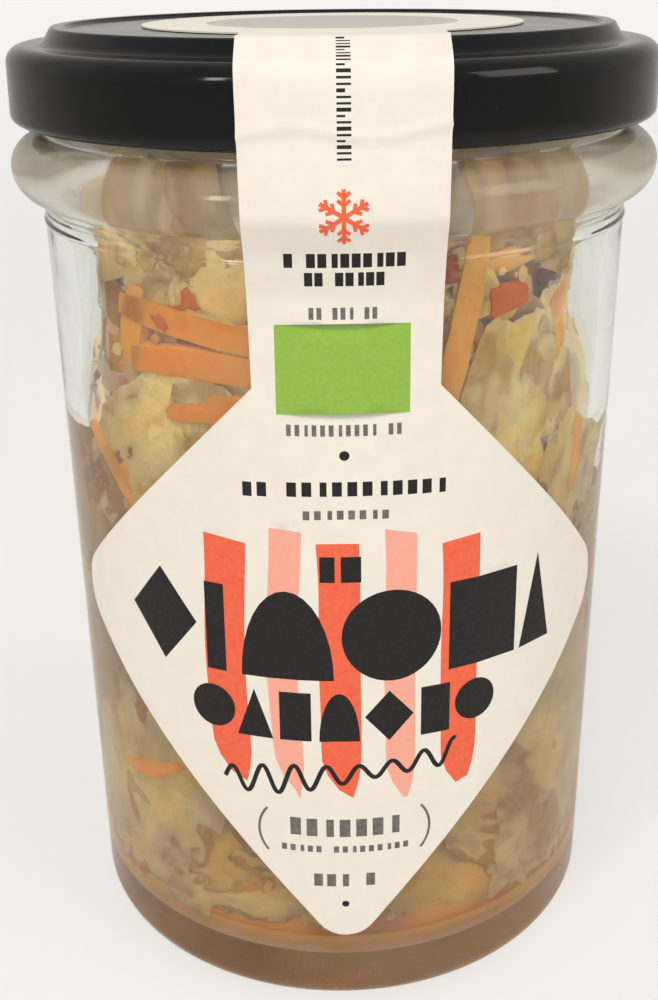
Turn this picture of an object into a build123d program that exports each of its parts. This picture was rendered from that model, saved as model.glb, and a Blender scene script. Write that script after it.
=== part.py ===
"""A sealed glass jar of kimchi: glass, twist-off lid, paper label, brine and cut vegetables.

Millimetres, +Z up. The origin is the middle of the foot, on the surface that the jar stands on.
The label faces -Y.
"""
from math import acos, atan2, cos, hypot, pi, sin, sqrt
import os

from build123d import *

# --- glass jar -------------------------------------------------------------------------------
glass_height = 102.1          # foot to sealing rim
body_foot_radius = 30.18      # outside, where the heel starts
body_top_radius = 31.93       # outside, just under the bead
heel_radius = 3.0
foot_ring_radius = 24.0       # inner edge of the flat foot ring
push_up = 1.2                 # how far the underside is domed up inside the foot ring
body_wall = 2.3
floor_thickness = 4.2         # at the corner of the cavity
floor_dome = 0.8
cavity_corner_radius = 5.0

# --- finish: bead, neck and thread, all placed down from the rim ----------------------------
bead_reach = 3.17             # how far the bead stands out of the body
bead_gap = 1.3                # lid's lower edge to the bead's upper edge
bead_top = 3.3                # bead's middle to its upper edge
bead_bottom = 3.5             # bead's middle to its lower edge
bead_blend = 0.5
neck_radius = 31.4
neck_wall = 2.1
neck_flare = 5.0              # height over which the neck's bore widens into the body
rim_inner_radius = 1.2
rim_outer_radius = 0.6
thread_starts = 4
thread_reach = 1.3            # how far a thread ridge stands out of the neck
thread_height = 2.0
thread_flank = 72.0           # degrees, slope of a ridge's sides
thread_rise = 1.3             # lid's lower edge to the middle of a ridge
thread_tilt = 3.6             # degrees
thread_arc = 80.0             # degrees of the ridge's own, tighter circle
thread_offset = 9.0           # how far that circle's centre lies off the jar's axis
thread_root = 0.6             # how deep a ridge is rooted in the neck

# --- twist-off lid --------------------------------------------------------------------------
lid_sheet = 0.4
lid_clearance = 0.35          # between the rolled edge and the thread
lid_skirt = 7.7               # annular ring to the curl's lower edge
lid_shoulder = 1.5
lid_curl = 0.85               # radius of the rolled edge
panel_inset = 1.4             # neck's outside to the raised panel
panel_rise = 1.74             # annular ring to the panel's raised rim
panel_recess = 0.3
panel_rim = 1.3               # width of the raised rim
step_run = 1.0                # how far the panel's step leans out

# --- label ----------------------------------------------------------------------------------
paper = 0.2
paper_seat = 0.05             # adhesive, between paper and what it is stuck to
label_centre = 0.4            # round the jar, from the -Y side
strip_centre = 0.95
strip_width = 18.1
top_disc_radius = 20.5        # on the lid
diamond_top = 72.6            # where the strip runs into the diamond
diamond_middle = 45.2         # height of the two side corners
diamond_bottom = 7.4          # before its corner is rounded
diamond_half_width = 36.9     # before the side corners are rounded
diamond_side_corner = 5.0
diamond_foot_corner = 3.6
diamond_upper_bow = 0.35      # how far the upper sides bow in
diamond_lower_bow = 1.7
bridge_length = 7.5           # height over which the strip hangs from the bead to the body
bridge_slack = 0.6            # how far it stands off the glass a third of the way up
samples_per_edge = 10

# --- contents -------------------------------------------------------------------------------
brine_level = 37.0
brine_clearance = 0.05
heap_clearance = 0.6          # between the vegetables and the glass, where they press on it
heap_hollow = 2.2             # how far the heap falls back between its lobes
heap_lobes = 5
heap_sections = 6
heap_section_points = 20
heap_top_drop = 9.2           # rim to the heap's mean top
heap_top_relief = 1.7
heap_top_wave = 0.2           # radians a millimetre
heap_top_grid = 9

# --- worked out -----------------------------------------------------------------------------
lid_radius = neck_radius + thread_reach + lid_clearance + 2 * lid_curl
panel_radius = neck_radius - panel_inset
ring_height = glass_height + lid_sheet
lid_top = ring_height + panel_rise
panel_height = lid_top - panel_recess
lid_bottom = ring_height - lid_skirt
bead_radius = body_top_radius + bead_reach
bead_height = lid_bottom - bead_gap - bead_top
bead_low = bead_height - bead_bottom
bore_radius = neck_radius - neck_wall


def body_radius(height):
    """Outside radius of the tapered body at a height."""
    slope = (body_top_radius - body_foot_radius) / (bead_low - heel_radius)
    return body_foot_radius + slope * (height - heel_radius)


def cavity_radius(height):
    """Inside radius of the body at a height."""
    return body_radius(height) - body_wall


def round_corner(sketch, near, radius):
    """Round the corner of an open sketch that lies nearest a point."""
    fillet(sketch.vertices().sort_by_distance(near)[0], radius)


def shallow_dome(radius, height, rise):
    """Half of a shallow dome's arc, from the jar's axis out to its edge."""
    return ThreePointArc((0, height + rise), (radius / 2, height + rise * 3 / 4), (radius, height))


def half_bead(near, far):
    """A quarter of the bead's oval section, from where it meets the glass to its widest point."""
    share = sqrt(0.5)
    middle = (near[0] + (far[0] - near[0]) * share, far[1] + (near[1] - far[1]) * share)
    return ThreePointArc(near, middle, far)


def cavity_outline(clearance, top):
    """Half section of what fills the cavity up to a height, held off the glass by a clearance."""
    low = floor_thickness + clearance
    side = cavity_radius(low) - clearance
    high_side = cavity_radius(top) - clearance
    with BuildSketch(Plane.XZ) as section:
        with BuildLine():
            floor = shallow_dome(side, low, floor_dome)
            Polyline(floor @ 1, (high_side, top), (0, top), floor @ 0)
        make_face()
        round_corner(section, (side, low), cavity_corner_radius)
    return section.sketch


# --- jar ------------------------------------------------------------------------------------
with BuildPart() as jar:
    with BuildSketch(Plane.XZ) as jar_section:
        with BuildLine():
            dome = shallow_dome(foot_ring_radius, 0, push_up)
            foot = Line(dome @ 1, (body_foot_radius - heel_radius, 0))
            heel = TangentArc(foot @ 1, (body_foot_radius, heel_radius), tangent=(1, 0))
            Line(heel @ 1, (body_top_radius, bead_low))
            half_bead((body_top_radius, bead_low), (bead_radius, bead_height))
            bead_over = half_bead((neck_radius, bead_height + bead_top), (bead_radius, bead_height))
            Polyline(bead_over @ 0, (neck_radius, glass_height), (0, glass_height), dome @ 0)
        make_face()
        round_corner(jar_section, (neck_radius, bead_height + bead_top), bead_blend)
        round_corner(jar_section, (body_top_radius, bead_low), bead_blend)
        round_corner(jar_section, (neck_radius, glass_height), rim_outer_radius)
    revolve(axis=Axis.Z)

    crest = neck_radius + thread_reach - thread_offset
    for start in range(thread_starts):
        bearing = 360 / thread_starts * (start + 0.5)
        outward = Vector(1, 0, 0).rotate(Axis.Z, bearing)
        centre = outward * thread_offset + Vector(0, 0, lid_bottom + thread_rise)
        lean = Vector(0, 0, 1).rotate(Axis((0, 0, 0), outward), thread_tilt)
        turning = Axis(centre, lean)
        first = outward.rotate(Axis((0, 0, 0), lean), -thread_arc / 2)
        with BuildSketch(Plane(origin=centre, x_dir=first, z_dir=first.cross(lean))) as ridge:
            with Locations((crest - (thread_reach + thread_root) / 2, 0)):
                Trapezoid(thread_height, thread_reach + thread_root, thread_flank, rotation=-90)
        revolve(axis=turning, revolution_arc=thread_arc)

    flare_low = bead_height - neck_flare / 2
    add(cavity_outline(0, flare_low))
    with BuildSketch(Plane.XZ):
        with BuildLine():
            Polyline(
                (0, flare_low),
                (cavity_radius(flare_low), flare_low),
                (bore_radius, flare_low + neck_flare),
                (bore_radius, glass_height),
                (0, glass_height),
                close=True,
            )
        make_face()
    revolve(axis=Axis.Z, mode=Mode.SUBTRACT)
    rim_edge = jar.edges().filter_by(GeomType.CIRCLE).filter_by(
        lambda edge: abs(edge.center().Z - glass_height) < 0.01 and abs(edge.radius - bore_radius) < 0.01
    )
    fillet(rim_edge, rim_inner_radius)
jar.part.label = "jar"

# --- lid ------------------------------------------------------------------------------------
with BuildPart() as lid:
    curl_height = lid_bottom + lid_curl
    wall_inside = lid_radius - lid_sheet
    step_foot = panel_radius + step_run
    with BuildSketch(Plane.XZ) as lid_section:
        with BuildLine():
            outside = Polyline(
                (0, panel_height),
                (panel_radius - panel_rim - panel_recess, panel_height),
                (panel_radius - panel_rim, lid_top),
                (panel_radius, lid_top),
                (step_foot, ring_height),
                (lid_radius, ring_height),
                (lid_radius, curl_height),
            )
            curl = ThreePointArc(
                outside @ 1,
                (lid_radius - lid_curl, lid_bottom),
                (lid_radius - 2 * lid_curl, curl_height),
            )
            Polyline(
                curl @ 1,
                (wall_inside, curl_height + 2 * lid_curl),
                (wall_inside, ring_height - lid_sheet),
                (step_foot - lid_sheet, ring_height - lid_sheet),
                (panel_radius - lid_sheet, panel_height - lid_sheet),
                (0, panel_height - lid_sheet),
                outside @ 0,
            )
        make_face()
        round_corner(lid_section, (lid_radius, ring_height), lid_shoulder)
        round_corner(lid_section, (wall_inside, ring_height - lid_sheet), lid_shoulder - lid_sheet)
        round_corner(lid_section, (panel_radius, lid_top), lid_sheet)
        round_corner(lid_section, (step_foot, ring_height), lid_sheet)
    revolve(axis=Axis.Z)
lid.part.label = "lid"

# --- label ----------------------------------------------------------------------------------
# The paper's own route down the front, as (radius, height) on the faces that it lies on.
shoulder_run = lid_radius - lid_shoulder - panel_radius
shoulder_rise = panel_rise + lid_shoulder
shoulder_facets = 4
shoulder_start = pi - atan2(shoulder_rise, shoulder_run) - acos(lid_shoulder / hypot(shoulder_run, shoulder_rise))
shoulder_skirt = lid_shoulder / cos(shoulder_start / (2 * (shoulder_facets - 1)))
bridge_foot = bead_low - bridge_length
route = [
    (0, panel_height),
    (panel_radius - panel_rim - 2 * panel_recess, panel_height),
    (panel_radius - panel_rim, lid_top),
    (panel_radius, lid_top),
]
for facet in range(shoulder_facets):
    turn = shoulder_start * (1 - facet / (shoulder_facets - 1))
    route.append((
        lid_radius - lid_shoulder + shoulder_skirt * cos(turn),
        ring_height - lid_shoulder + shoulder_skirt * sin(turn),
    ))
route += [
    (lid_radius, curl_height),
    (bead_radius, bead_height + bead_top / 3),
    (bead_radius, bead_height - bead_bottom / 3),
    (bead_radius - bead_reach / 4, bead_low + bead_blend),
    (body_radius(bridge_foot) + bridge_slack, bridge_foot + bridge_length / 3),
    (body_radius(bridge_foot), bridge_foot),
    (body_radius(diamond_bottom - paper), diamond_bottom - paper),
]


def beside(points, distance):
    """The same route, moved out of the jar along the mean normal at each point."""
    moved = []
    for index, (radius, height) in enumerate(points):
        before = points[max(index - 1, 0)]
        after = points[min(index + 1, len(points) - 1)]
        run, drop = after[0] - before[0], after[1] - before[1]
        length = hypot(run, drop)
        moved.append((radius - drop / length * distance, height + run / length * distance))
    moved[0] = (0, moved[0][1])
    return moved


with BuildSketch() as label_flat:
    with BuildLine():
        half = strip_width / 2
        strip_left = Line((strip_centre - half, lid_top + 2 * paper), (strip_centre - half, diamond_top))
        left_tip = (label_centre - diamond_half_width, diamond_middle)
        right_tip = (label_centre + diamond_half_width, diamond_middle)
        SagittaArc(strip_left @ 1, left_tip, diamond_upper_bow)
        SagittaArc(left_tip, (label_centre, diamond_bottom), diamond_lower_bow)
        SagittaArc((label_centre, diamond_bottom), right_tip, diamond_lower_bow)
        upper_right = SagittaArc(right_tip, (strip_centre + half, diamond_top), diamond_upper_bow)
        Polyline(upper_right @ 1, (strip_centre + half, lid_top + 2 * paper), strip_left @ 0)
    make_face()
    round_corner(label_flat, left_tip, diamond_side_corner)
    round_corner(label_flat, right_tip, diamond_side_corner)
    round_corner(label_flat, (label_centre, diamond_bottom), diamond_foot_corner)

outline = []
for edge in label_flat.face().outer_wire().order_edges():
    for step in range(samples_per_edge):
        point = edge.position_at(step / samples_per_edge)
        girth = body_radius(min(point.Y, bead_low))
        outline.append((girth * sin(point.X / girth), point.Y))

with BuildPart() as stencil:
    with BuildSketch(Plane.XZ):
        with BuildLine():
            Polyline(*outline, close=True)
        make_face()
    extrude(amount=2 * lid_radius)
    with BuildSketch(Plane.XY.offset(panel_height)):
        Circle(top_disc_radius)
    extrude(amount=panel_rise)

with BuildPart() as label:
    with BuildSketch(Plane.XZ):
        with BuildLine():
            Polyline(*beside(route, paper_seat), *reversed(beside(route, paper_seat + paper)), close=True)
        make_face()
    revolve(axis=Axis.Z)
    add(stencil.part, mode=Mode.INTERSECT)
label.part.label = "label"

# --- brine ----------------------------------------------------------------------------------
with BuildPart() as brine:
    add(cavity_outline(brine_clearance, brine_level))
    revolve(axis=Axis.Z)
brine.part.label = "brine"

# --- kimchi ---------------------------------------------------------------------------------
heap_top = glass_height - heap_top_drop


def heap_ring(height, turn):
    """One uneven level outline of the packed vegetables, as points round the axis."""
    reach = min(cavity_radius(height), bore_radius) - heap_clearance
    ring = []
    for index in range(heap_section_points):
        angle = 2 * pi * index / heap_section_points
        lobe = 0.6 * sin(heap_lobes * angle + turn) + 0.4 * sin((heap_lobes - 3) * angle - 1.7 * turn)
        radius = reach - heap_hollow * (1 + lobe) / 2
        ring.append((radius * cos(angle), radius * sin(angle)))
    return ring


def heap_relief(x, y):
    """Height of the heap's top over its mean, a few soft humps."""
    across = heap_top_wave * x
    along = heap_top_wave * y
    return heap_top_relief * (sin(across + 0.8) * cos(0.8 * along - 0.5) + 0.6 * sin(1.5 * along + across))


with BuildPart() as kimchi:
    heap_reach = heap_top + 2 * heap_top_relief
    for index in range(heap_sections):
        height = brine_level + (heap_reach - brine_level) * index / (heap_sections - 1)
        with BuildSketch(Plane.XY.offset(height)):
            with BuildLine():
                Spline(*heap_ring(height, 1.3 * index), periodic=True)
            make_face()
    loft()
    grid_step = 2 * lid_radius / (heap_top_grid - 1)
    grid = [
        [
            Vector(
                column * grid_step - lid_radius,
                row * grid_step - lid_radius,
                heap_top + heap_relief(column * grid_step - lid_radius, row * grid_step - lid_radius),
            )
            for row in range(heap_top_grid)
        ]
        for column in range(heap_top_grid)
    ]
    cap = Face.make_surface_from_array_of_points(grid)
    extrude(cap, amount=6 * heap_top_relief, dir=(0, 0, 1), mode=Mode.SUBTRACT)
kimchi.part.label = "kimchi"

os.makedirs("parts", exist_ok=True)
export_step(jar.part, "parts/jar.step")
export_step(lid.part, "parts/lid.step")
export_step(label.part, "parts/label.step")
export_step(brine.part, "parts/brine.step")
export_step(kimchi.part, "parts/kimchi.step")
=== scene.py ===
"""A sealed jar of kimchi: glass, enamelled twist-off lid, one-piece paper label, brine and cut vegetables.

Sizes inside the functions are millimetres, and each mesh is scaled to metres as it is made.
+Z is up, the label faces -Y, and a bearing is measured round the jar from -Y towards +X.
"""

import random
from math import asin, atan2, cos, exp, pi, radians, sin, sqrt, tan

import bmesh
import bpy
from mathutils import Matrix, Vector, noise
from mathutils.geometry import delaunay_2d_cdt


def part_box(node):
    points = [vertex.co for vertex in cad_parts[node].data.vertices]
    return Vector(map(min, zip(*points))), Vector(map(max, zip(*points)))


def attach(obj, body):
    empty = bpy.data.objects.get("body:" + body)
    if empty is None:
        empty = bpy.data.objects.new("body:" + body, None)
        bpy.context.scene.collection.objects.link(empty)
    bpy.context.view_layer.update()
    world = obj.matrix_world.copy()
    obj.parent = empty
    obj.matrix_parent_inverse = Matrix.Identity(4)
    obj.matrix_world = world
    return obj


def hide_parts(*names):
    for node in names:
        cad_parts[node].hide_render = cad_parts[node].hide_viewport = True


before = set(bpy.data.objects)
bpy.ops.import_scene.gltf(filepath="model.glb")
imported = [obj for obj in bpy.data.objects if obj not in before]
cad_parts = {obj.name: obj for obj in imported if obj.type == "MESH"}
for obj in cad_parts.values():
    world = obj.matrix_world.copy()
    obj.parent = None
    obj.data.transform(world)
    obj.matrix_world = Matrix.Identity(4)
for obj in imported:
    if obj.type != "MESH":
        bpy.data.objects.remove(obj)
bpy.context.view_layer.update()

bl_info = {
    "name": "Kimchi jar",
    "version": (1, 0, 0),
    "blender": (4, 5, 0),
    "location": "View3D > Sidebar > Kimchi jar",
    "description": "Builds a sealed jar of kimchi and the studio that it stands in",
    "category": "Add Mesh",
}

MM = 0.001


def top_of(node):
    """Height of a CAD node's highest point, in millimetres."""
    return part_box(node)[1].z / MM


def reach_of(node):
    """How far a CAD node reaches from the jar's axis along X, in millimetres."""
    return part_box(node)[1].x / MM


# --- the jar's own sizes, placed from the frame -----------------------------------------------
GLASS_HEIGHT = top_of("jar")
BEAD_RADIUS = reach_of("jar")
LID_RADIUS = reach_of("lid")
LID_TOP = top_of("lid")
LID_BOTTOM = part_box("lid")[0].z / MM
BRINE_LEVEL = top_of("brine")
HEAP_TOP = top_of("kimchi")
LABEL_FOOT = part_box("label")[0].z / MM

BODY_TOP_RADIUS = BEAD_RADIUS - 3.17
BODY_FOOT_RADIUS = BODY_TOP_RADIUS - 1.75
HEEL_RADIUS = 3.0
FOOT_RING_RADIUS = 24.0
PUSH_UP = 1.2
BODY_WALL = 2.3
FLOOR_TOP = 4.2
FLOOR_DOME = 0.8
CAVITY_CORNER = 5.0
BEAD_GAP = 1.3
BEAD_TOP = 3.3
BEAD_BOTTOM = 3.5
BEAD_HEIGHT = LID_BOTTOM - BEAD_GAP - BEAD_TOP
BEAD_LOW = BEAD_HEIGHT - BEAD_BOTTOM
NECK_RADIUS = BODY_TOP_RADIUS - 0.53
BORE_RADIUS = NECK_RADIUS - 2.1
NECK_FLARE = 5.0
FLARE_LOW = BEAD_HEIGHT - NECK_FLARE / 2
THREAD_STARTS = 4
THREAD_REACH = 1.2
THREAD_HALF_HEIGHT = 1.0
THREAD_HEIGHT = LID_BOTTOM + 1.3
THREAD_TILT = radians(3.6)
THREAD_HALF_ARC = radians(27)
LID_SHEET = 0.4
LID_SHOULDER = 1.7
LID_CURL = 0.85
RING_HEIGHT = GLASS_HEIGHT + LID_SHEET
PANEL_RADIUS = NECK_RADIUS - 1.4
PANEL_RECESS = 0.3
PANEL_RIM = 1.3
STEP_RUN = 1.0
SEAM_HEIGHTS = (BEAD_LOW - 0.5, BEAD_LOW - 2.3)
SEAM_HALF_HEIGHT = 0.22
FROST_LOW, FROST_HIGH = BEAD_LOW - 1.7, BEAD_LOW + 1.3
MIST_LOW, MIST_HIGH = BEAD_LOW - 2.7, BEAD_LOW + 2.3


def linear(code):
    """A colour written as sRGB hex, such as "F6EFE2", as linear RGB."""
    shares = [int(code[place:place + 2], 16) / 255 for place in (0, 2, 4)]
    return [s / 12.92 if s <= 0.04045 else ((s + 0.055) / 1.055) ** 2.4 for s in shares]


def body_radius(height):
    """Outside radius of the tapered glass body at a height."""
    slope = (BODY_TOP_RADIUS - BODY_FOOT_RADIUS) / (BEAD_LOW - HEEL_RADIUS)
    return BODY_FOOT_RADIUS + slope * (min(height, BEAD_LOW) - HEEL_RADIUS)


def wall_radius(height):
    """Radius of the cavity at a height, with its rounded floor corner and its narrower neck."""
    radius = body_radius(height) - BODY_WALL
    above = height - FLOOR_TOP
    if above < CAVITY_CORNER:
        short = CAVITY_CORNER - max(above, 0.0)
        radius -= CAVITY_CORNER - sqrt(max(CAVITY_CORNER ** 2 - short ** 2, 0.0))
    share = min(max((height - FLARE_LOW) / NECK_FLARE, 0.0), 1.0)
    return radius + (BORE_RADIUS - radius) * share


# --- settings ---------------------------------------------------------------------------------
def colour(name, code, about):
    """A colour that a user can change."""
    return bpy.props.FloatVectorProperty(
        name=name, description=about, subtype="COLOR", size=3, min=0, max=1, default=linear(code),
    )


def length(name, default, about):
    """A length that a user can change, given here in millimetres."""
    return bpy.props.FloatProperty(
        name=name, description=about, default=default * MM, unit="LENGTH", precision=5,
    )


def amount(name, default, about, unit="NONE"):
    """A measure other than a length that a user can change."""
    return bpy.props.FloatProperty(name=name, description=about, default=default, unit=unit)


def number(name, default, about, least=0):
    """A whole number that a user can change."""
    return bpy.props.IntProperty(name=name, description=about, default=default, min=least)


class GlassSettings(bpy.types.PropertyGroup):
    """The jar and its lid."""
    glass: colour("Glass", "F6FAF7", "Tint of the soda-lime glass")
    waviness: length("Waviness", 0.10, "How far the pressed inside wall wanders from round")
    seam: length("Seam", 0.17, "How far the mould's parting lines stand out")
    enamel: colour("Enamel", "060709", "Colour of the lid's outside")
    lining: colour("Lining", "D9D4C8", "Colour of the lid's inside")
    segments: number("Segments", 224, "Facets round the jar", 32)


class LabelSettings(bpy.types.PropertyGroup):
    """The paper label and its inks."""
    thickness: length("Thickness", 0.16, "Thickness of the label paper")
    paper: colour("Paper", "F1EBE0", "Colour of the paper")
    red: colour("Red ink", "F0603A", "Three of the brush stripes and the frost star")
    pink: colour("Pink ink", "F6A893", "Two of the brush stripes")
    black: colour("Black ink", "1D191A", "Title shapes")
    grey: colour("Grey ink", "5B5551", "Small rules")
    green: colour("Green ink", "8CB93A", "Green field")


class FillSettings(bpy.types.PropertyGroup):
    """What is in the jar."""
    seed: number("Seed", 11, "Another packing of the same vegetables")
    leaves: number("Leaves", 118, "Number of cut cabbage leaves")
    ribs: number("Ribs", 46, "Number of thick cabbage ribs")
    shreds: number("Shreds", 380, "Number of cabbage shreds on the glass")
    sticks: number("Carrot sticks", 64, "Number of loose carrot sticks")
    peppers: number("Peppers", 14, "Number of red pepper pieces")
    flakes: number("Flakes", 110, "Number of chilli flakes")
    bubbles: number("Bubbles", 190, "Number of gas bubbles")
    cabbage: colour("Cabbage", "FFDC9C", "Fermented cabbage leaf")
    stalk: colour("Stalk", "FBDFA2", "Thick white rib of the cabbage")
    carrot: colour("Carrot", "F5BC62", "Carrot")
    pepper: colour("Pepper", "E0722E", "Red pepper")
    brine: colour("Brine", "F6D8A4", "Tint of the brine")


class StageSettings(bpy.types.PropertyGroup):
    """The studio."""
    floor: colour("Floor", "F3F1EE", "Floor and backdrop")
    room: amount("Room", 0.6, "Strength of the light from all round")
    key: amount("Key", 1.28, "Power of the lamp above", "POWER")
    fill: amount("Fill", 0.8, "Power of the side lamp", "POWER")
    lens: amount("Lens", 47.9, "Focal length, mm")


# --- mesh helpers -----------------------------------------------------------------------------
def new_piece(name, points, faces, materials, face_materials=None):
    """A smooth mesh object from points in millimetres."""
    mesh = bpy.data.meshes.new(name)
    mesh.from_pydata([(x * MM, y * MM, z * MM) for x, y, z in points], [], faces)
    for material in materials:
        mesh.materials.append(material)
    if face_materials:
        mesh.polygons.foreach_set("material_index", face_materials)
    mesh.polygons.foreach_set("use_smooth", [True] * len(mesh.polygons))
    mesh.validate()
    mesh.update()
    made = bpy.data.objects.new(name, mesh)
    bpy.context.scene.collection.objects.link(made)
    return made


def dress(piece, slot, *nodes):
    """Make a piece ride with the jar and stand for CAD nodes, which it hides. slot is not used."""
    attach(piece, "root")
    if nodes:
        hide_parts(*nodes)


def rounded(corners, steps=6):
    """Points along straight runs with rounded corners, each corner given as (radius, height, fillet)."""
    path = []
    for index, (radius, height, fillet) in enumerate(corners):
        here = Vector((radius, height))
        if not fillet:
            path.append(here)
            continue
        before = (Vector(corners[index - 1][:2]) - here).normalized()
        after = (Vector(corners[index + 1][:2]) - here).normalized()
        half = before.angle(after) / 2
        centre = here + (before + after).normalized() * fillet / sin(half)
        first = here + before * fillet / tan(half) - centre
        last = here + after * fillet / tan(half) - centre
        path += [centre + first.slerp(last, step / steps) * fillet for step in range(steps + 1)]
    return path


def finer(path, longest):
    """The same path with its long runs divided."""
    points = [path[0]]
    for before, after in zip(path, path[1:]):
        parts = max(1, round((after - before).length / longest))
        points += [before.lerp(after, part / parts) for part in range(1, parts + 1)]
    return points


def lathe(name, path, segments, materials, pick=None, shape=None):
    """A path from axis to axis turned round the jar's axis. shape moves (radius, height, bearing)."""
    points, rings = [], []
    for spot in path:
        radius, height = spot
        if radius < 1e-6:
            rings.append([len(points)])
            points.append((0.0, 0.0, height))
            continue
        ring = []
        for step in range(segments):
            bearing = 2 * pi * step / segments
            r, z = shape(radius, height, bearing) if shape else (radius, height)
            ring.append(len(points))
            points.append((r * sin(bearing), -r * cos(bearing), z))
        rings.append(ring)
    faces, kinds = [], []
    for row, (low, high) in enumerate(zip(rings, rings[1:])):
        for step in range(segments):
            after = (step + 1) % segments
            near, far = low[step % len(low)], high[step % len(high)]
            corners = [near, low[after % len(low)], high[after % len(high)], far]
            faces.append(list(dict.fromkeys(corners)))
            kinds.append(pick(row) if pick else 0)
    return new_piece(name, points, faces, materials, kinds)


def point_inward_out(piece):
    """Turn every face of a closed mesh to face outward."""
    work = bmesh.new()
    work.from_mesh(piece.data)
    bmesh.ops.recalc_face_normals(work, faces=work.faces)
    work.to_mesh(piece.data)
    work.free()
    piece.data.update()


# --- material helpers -------------------------------------------------------------------------
def add(tree, kind, inputs=None, **settings):
    """Add a shader node to a tree, with its settings, and set or link its inputs."""
    made = tree.nodes.new("ShaderNode" + kind)
    for name, value in settings.items():
        setattr(made, name, value)
    for name, value in (inputs or {}).items():
        if isinstance(value, bpy.types.NodeSocket):
            tree.links.new(value, made.inputs[name])
        else:
            made.inputs[name].default_value = value
    return made


def new_material(name):
    """An empty material: (material, its tree, the piece's own coordinates)."""
    material = bpy.data.materials.new(name)
    material.use_nodes = True
    tree = material.node_tree
    tree.nodes.clear()
    return material, tree, add(tree, "TexCoord").outputs["Object"]


def finished(material, shader):
    """The material, with a shader for its surface."""
    add(material.node_tree, "OutputMaterial", {"Surface": shader.outputs[0]})
    return material


def solid(rgb):
    """A linear colour with full alpha, as a colour socket takes it."""
    return (*rgb, 1.0)


def combine(tree, operation, first, second):
    """The outcome of one sum with two numbers."""
    return add(tree, "Math", {0: first, 1: second}, operation=operation).outputs[0]


def ramp(tree, value, low, high, start=0.0, end=1.0):
    """A number that goes from low to high while another goes from start to end."""
    return add(tree, "MapRange", {
        "Value": value, "From Min": start, "From Max": end, "To Min": low, "To Max": high,
    }).outputs[0]


def grain(tree, coords, size, detail):
    """Cloudy noise with features of a size in millimetres."""
    cloud = add(tree, "TexNoise", {"Vector": coords, "Scale": 1 / (size * MM), "Detail": detail})
    return cloud.outputs["Fac"]


def spotted(tree, coords, size, start, end, detail=3.0):
    """The same noise, stretched so that start to end covers 0 to 1."""
    return ramp(tree, grain(tree, coords, size, detail), 0.0, 1.0, start, end)


def bumped(tree, height, strength, depth):
    """A skin that a height raises, by up to a depth in millimetres."""
    return add(tree, "Bump", {"Height": height, "Strength": strength, "Distance": depth * MM}).outputs[0]


def blend(tree, factor, first, second):
    """Mix two colours. Each is a socket or a linear colour."""
    first, second = (c if isinstance(c, bpy.types.NodeSocket) else solid(c) for c in (first, second))
    return add(tree, "Mix", {0: factor, 6: first, 7: second}, data_type="RGBA").outputs[2]


def shared(tree, share, first, second):
    """Two shaders, mixed by a share of the second."""
    return add(tree, "MixShader", {0: share, 1: first.outputs[0], 2: second.outputs[0]})


def let_light_in(tree, shader, tint):
    """Clear pieces pass the lamps' light on to what is behind them, faintly tinted."""
    shadow = add(tree, "LightPath").outputs["Is Shadow Ray"]
    return shared(tree, shadow, shader, add(tree, "BsdfTransparent", {"Color": solid(tint)}))


# --- materials of the jar ---------------------------------------------------------------------
def soda_lime_glass(tint):
    """Soda-lime glass, pressed and blown in an iron mould.

    Clear with a thin green-grey cast, sharp gloss, and a skin that ripples a little where it met the mould.
    A jar out of the refrigerator carries a patchy breath of mist, which pales what is behind it. Both the
    mist and a frosting of the skin are thicker from the bead upwards.
    """
    material, tree, coords = new_material("Soda-lime glass, mould-blown")
    up = add(tree, "SeparateXYZ", {"Vector": coords}).outputs["Z"]
    frosting = FROST_LOW * MM, FROST_HIGH * MM
    smear = spotted(tree, coords, 14, 0.45, 0.75)
    rough = ramp(tree, smear, ramp(tree, up, 0.0, 0.12, *frosting), ramp(tree, up, 0.05, 0.26, *frosting))
    glass = add(tree, "BsdfPrincipled", {
        "Base Color": solid(tint), "IOR": 1.52, "Transmission Weight": 1.0, "Roughness": rough,
        "Normal": bumped(tree, grain(tree, coords, 7, 1.5), 0.3, 0.12),
    })
    misting = MIST_LOW * MM, MIST_HIGH * MM
    breath = spotted(tree, coords, 11, 0.42, 0.8, 4.0)
    mist = ramp(tree, breath, ramp(tree, up, 0.004, 0.2, *misting), ramp(tree, up, 0.09, 0.36, *misting))
    fog = add(tree, "BsdfDiffuse", {"Color": solid(linear("DDD0B8"))})
    return finished(material, let_light_in(tree, shared(tree, mist, glass, fog), linear("F0F3F1")))


def tinplate_enamel(rgb):
    """Tinplate with a stoved black enamel, rolled on before pressing.

    Deep gloss with a faint orange peel, and hair-fine rub marks that show in the reflections.
    """
    material, tree, coords = new_material("Stoved enamel on tinplate")
    rub = spotted(tree, coords, 5, 0.35, 0.8, 6.0)
    dust = spotted(tree, coords, 0.5, 0.66, 0.9, 4.0)
    return finished(material, add(tree, "BsdfPrincipled", {
        "Base Color": blend(tree, dust, rgb, linear("24262A")), "Roughness": ramp(tree, rub, 0.07, 0.16),
        "Normal": bumped(tree, grain(tree, coords, 1.6, 2.0), 0.25, 0.02), "IOR": 1.5,
        "Specular IOR Level": 0.28,
    }))


def lid_lining(rgb):
    """Pale lacquer and flowed-in compound inside the lid: matt, slightly mottled."""
    material, tree, coords = new_material("Food-safe lacquer")
    tone = blend(tree, spotted(tree, coords, 3, 0.3, 0.7), rgb, linear("C9C3B4"))
    lacquer = add(tree, "BsdfPrincipled", {"Base Color": tone, "Roughness": 0.45, "IOR": 1.5})
    return finished(material, lacquer)


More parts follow.
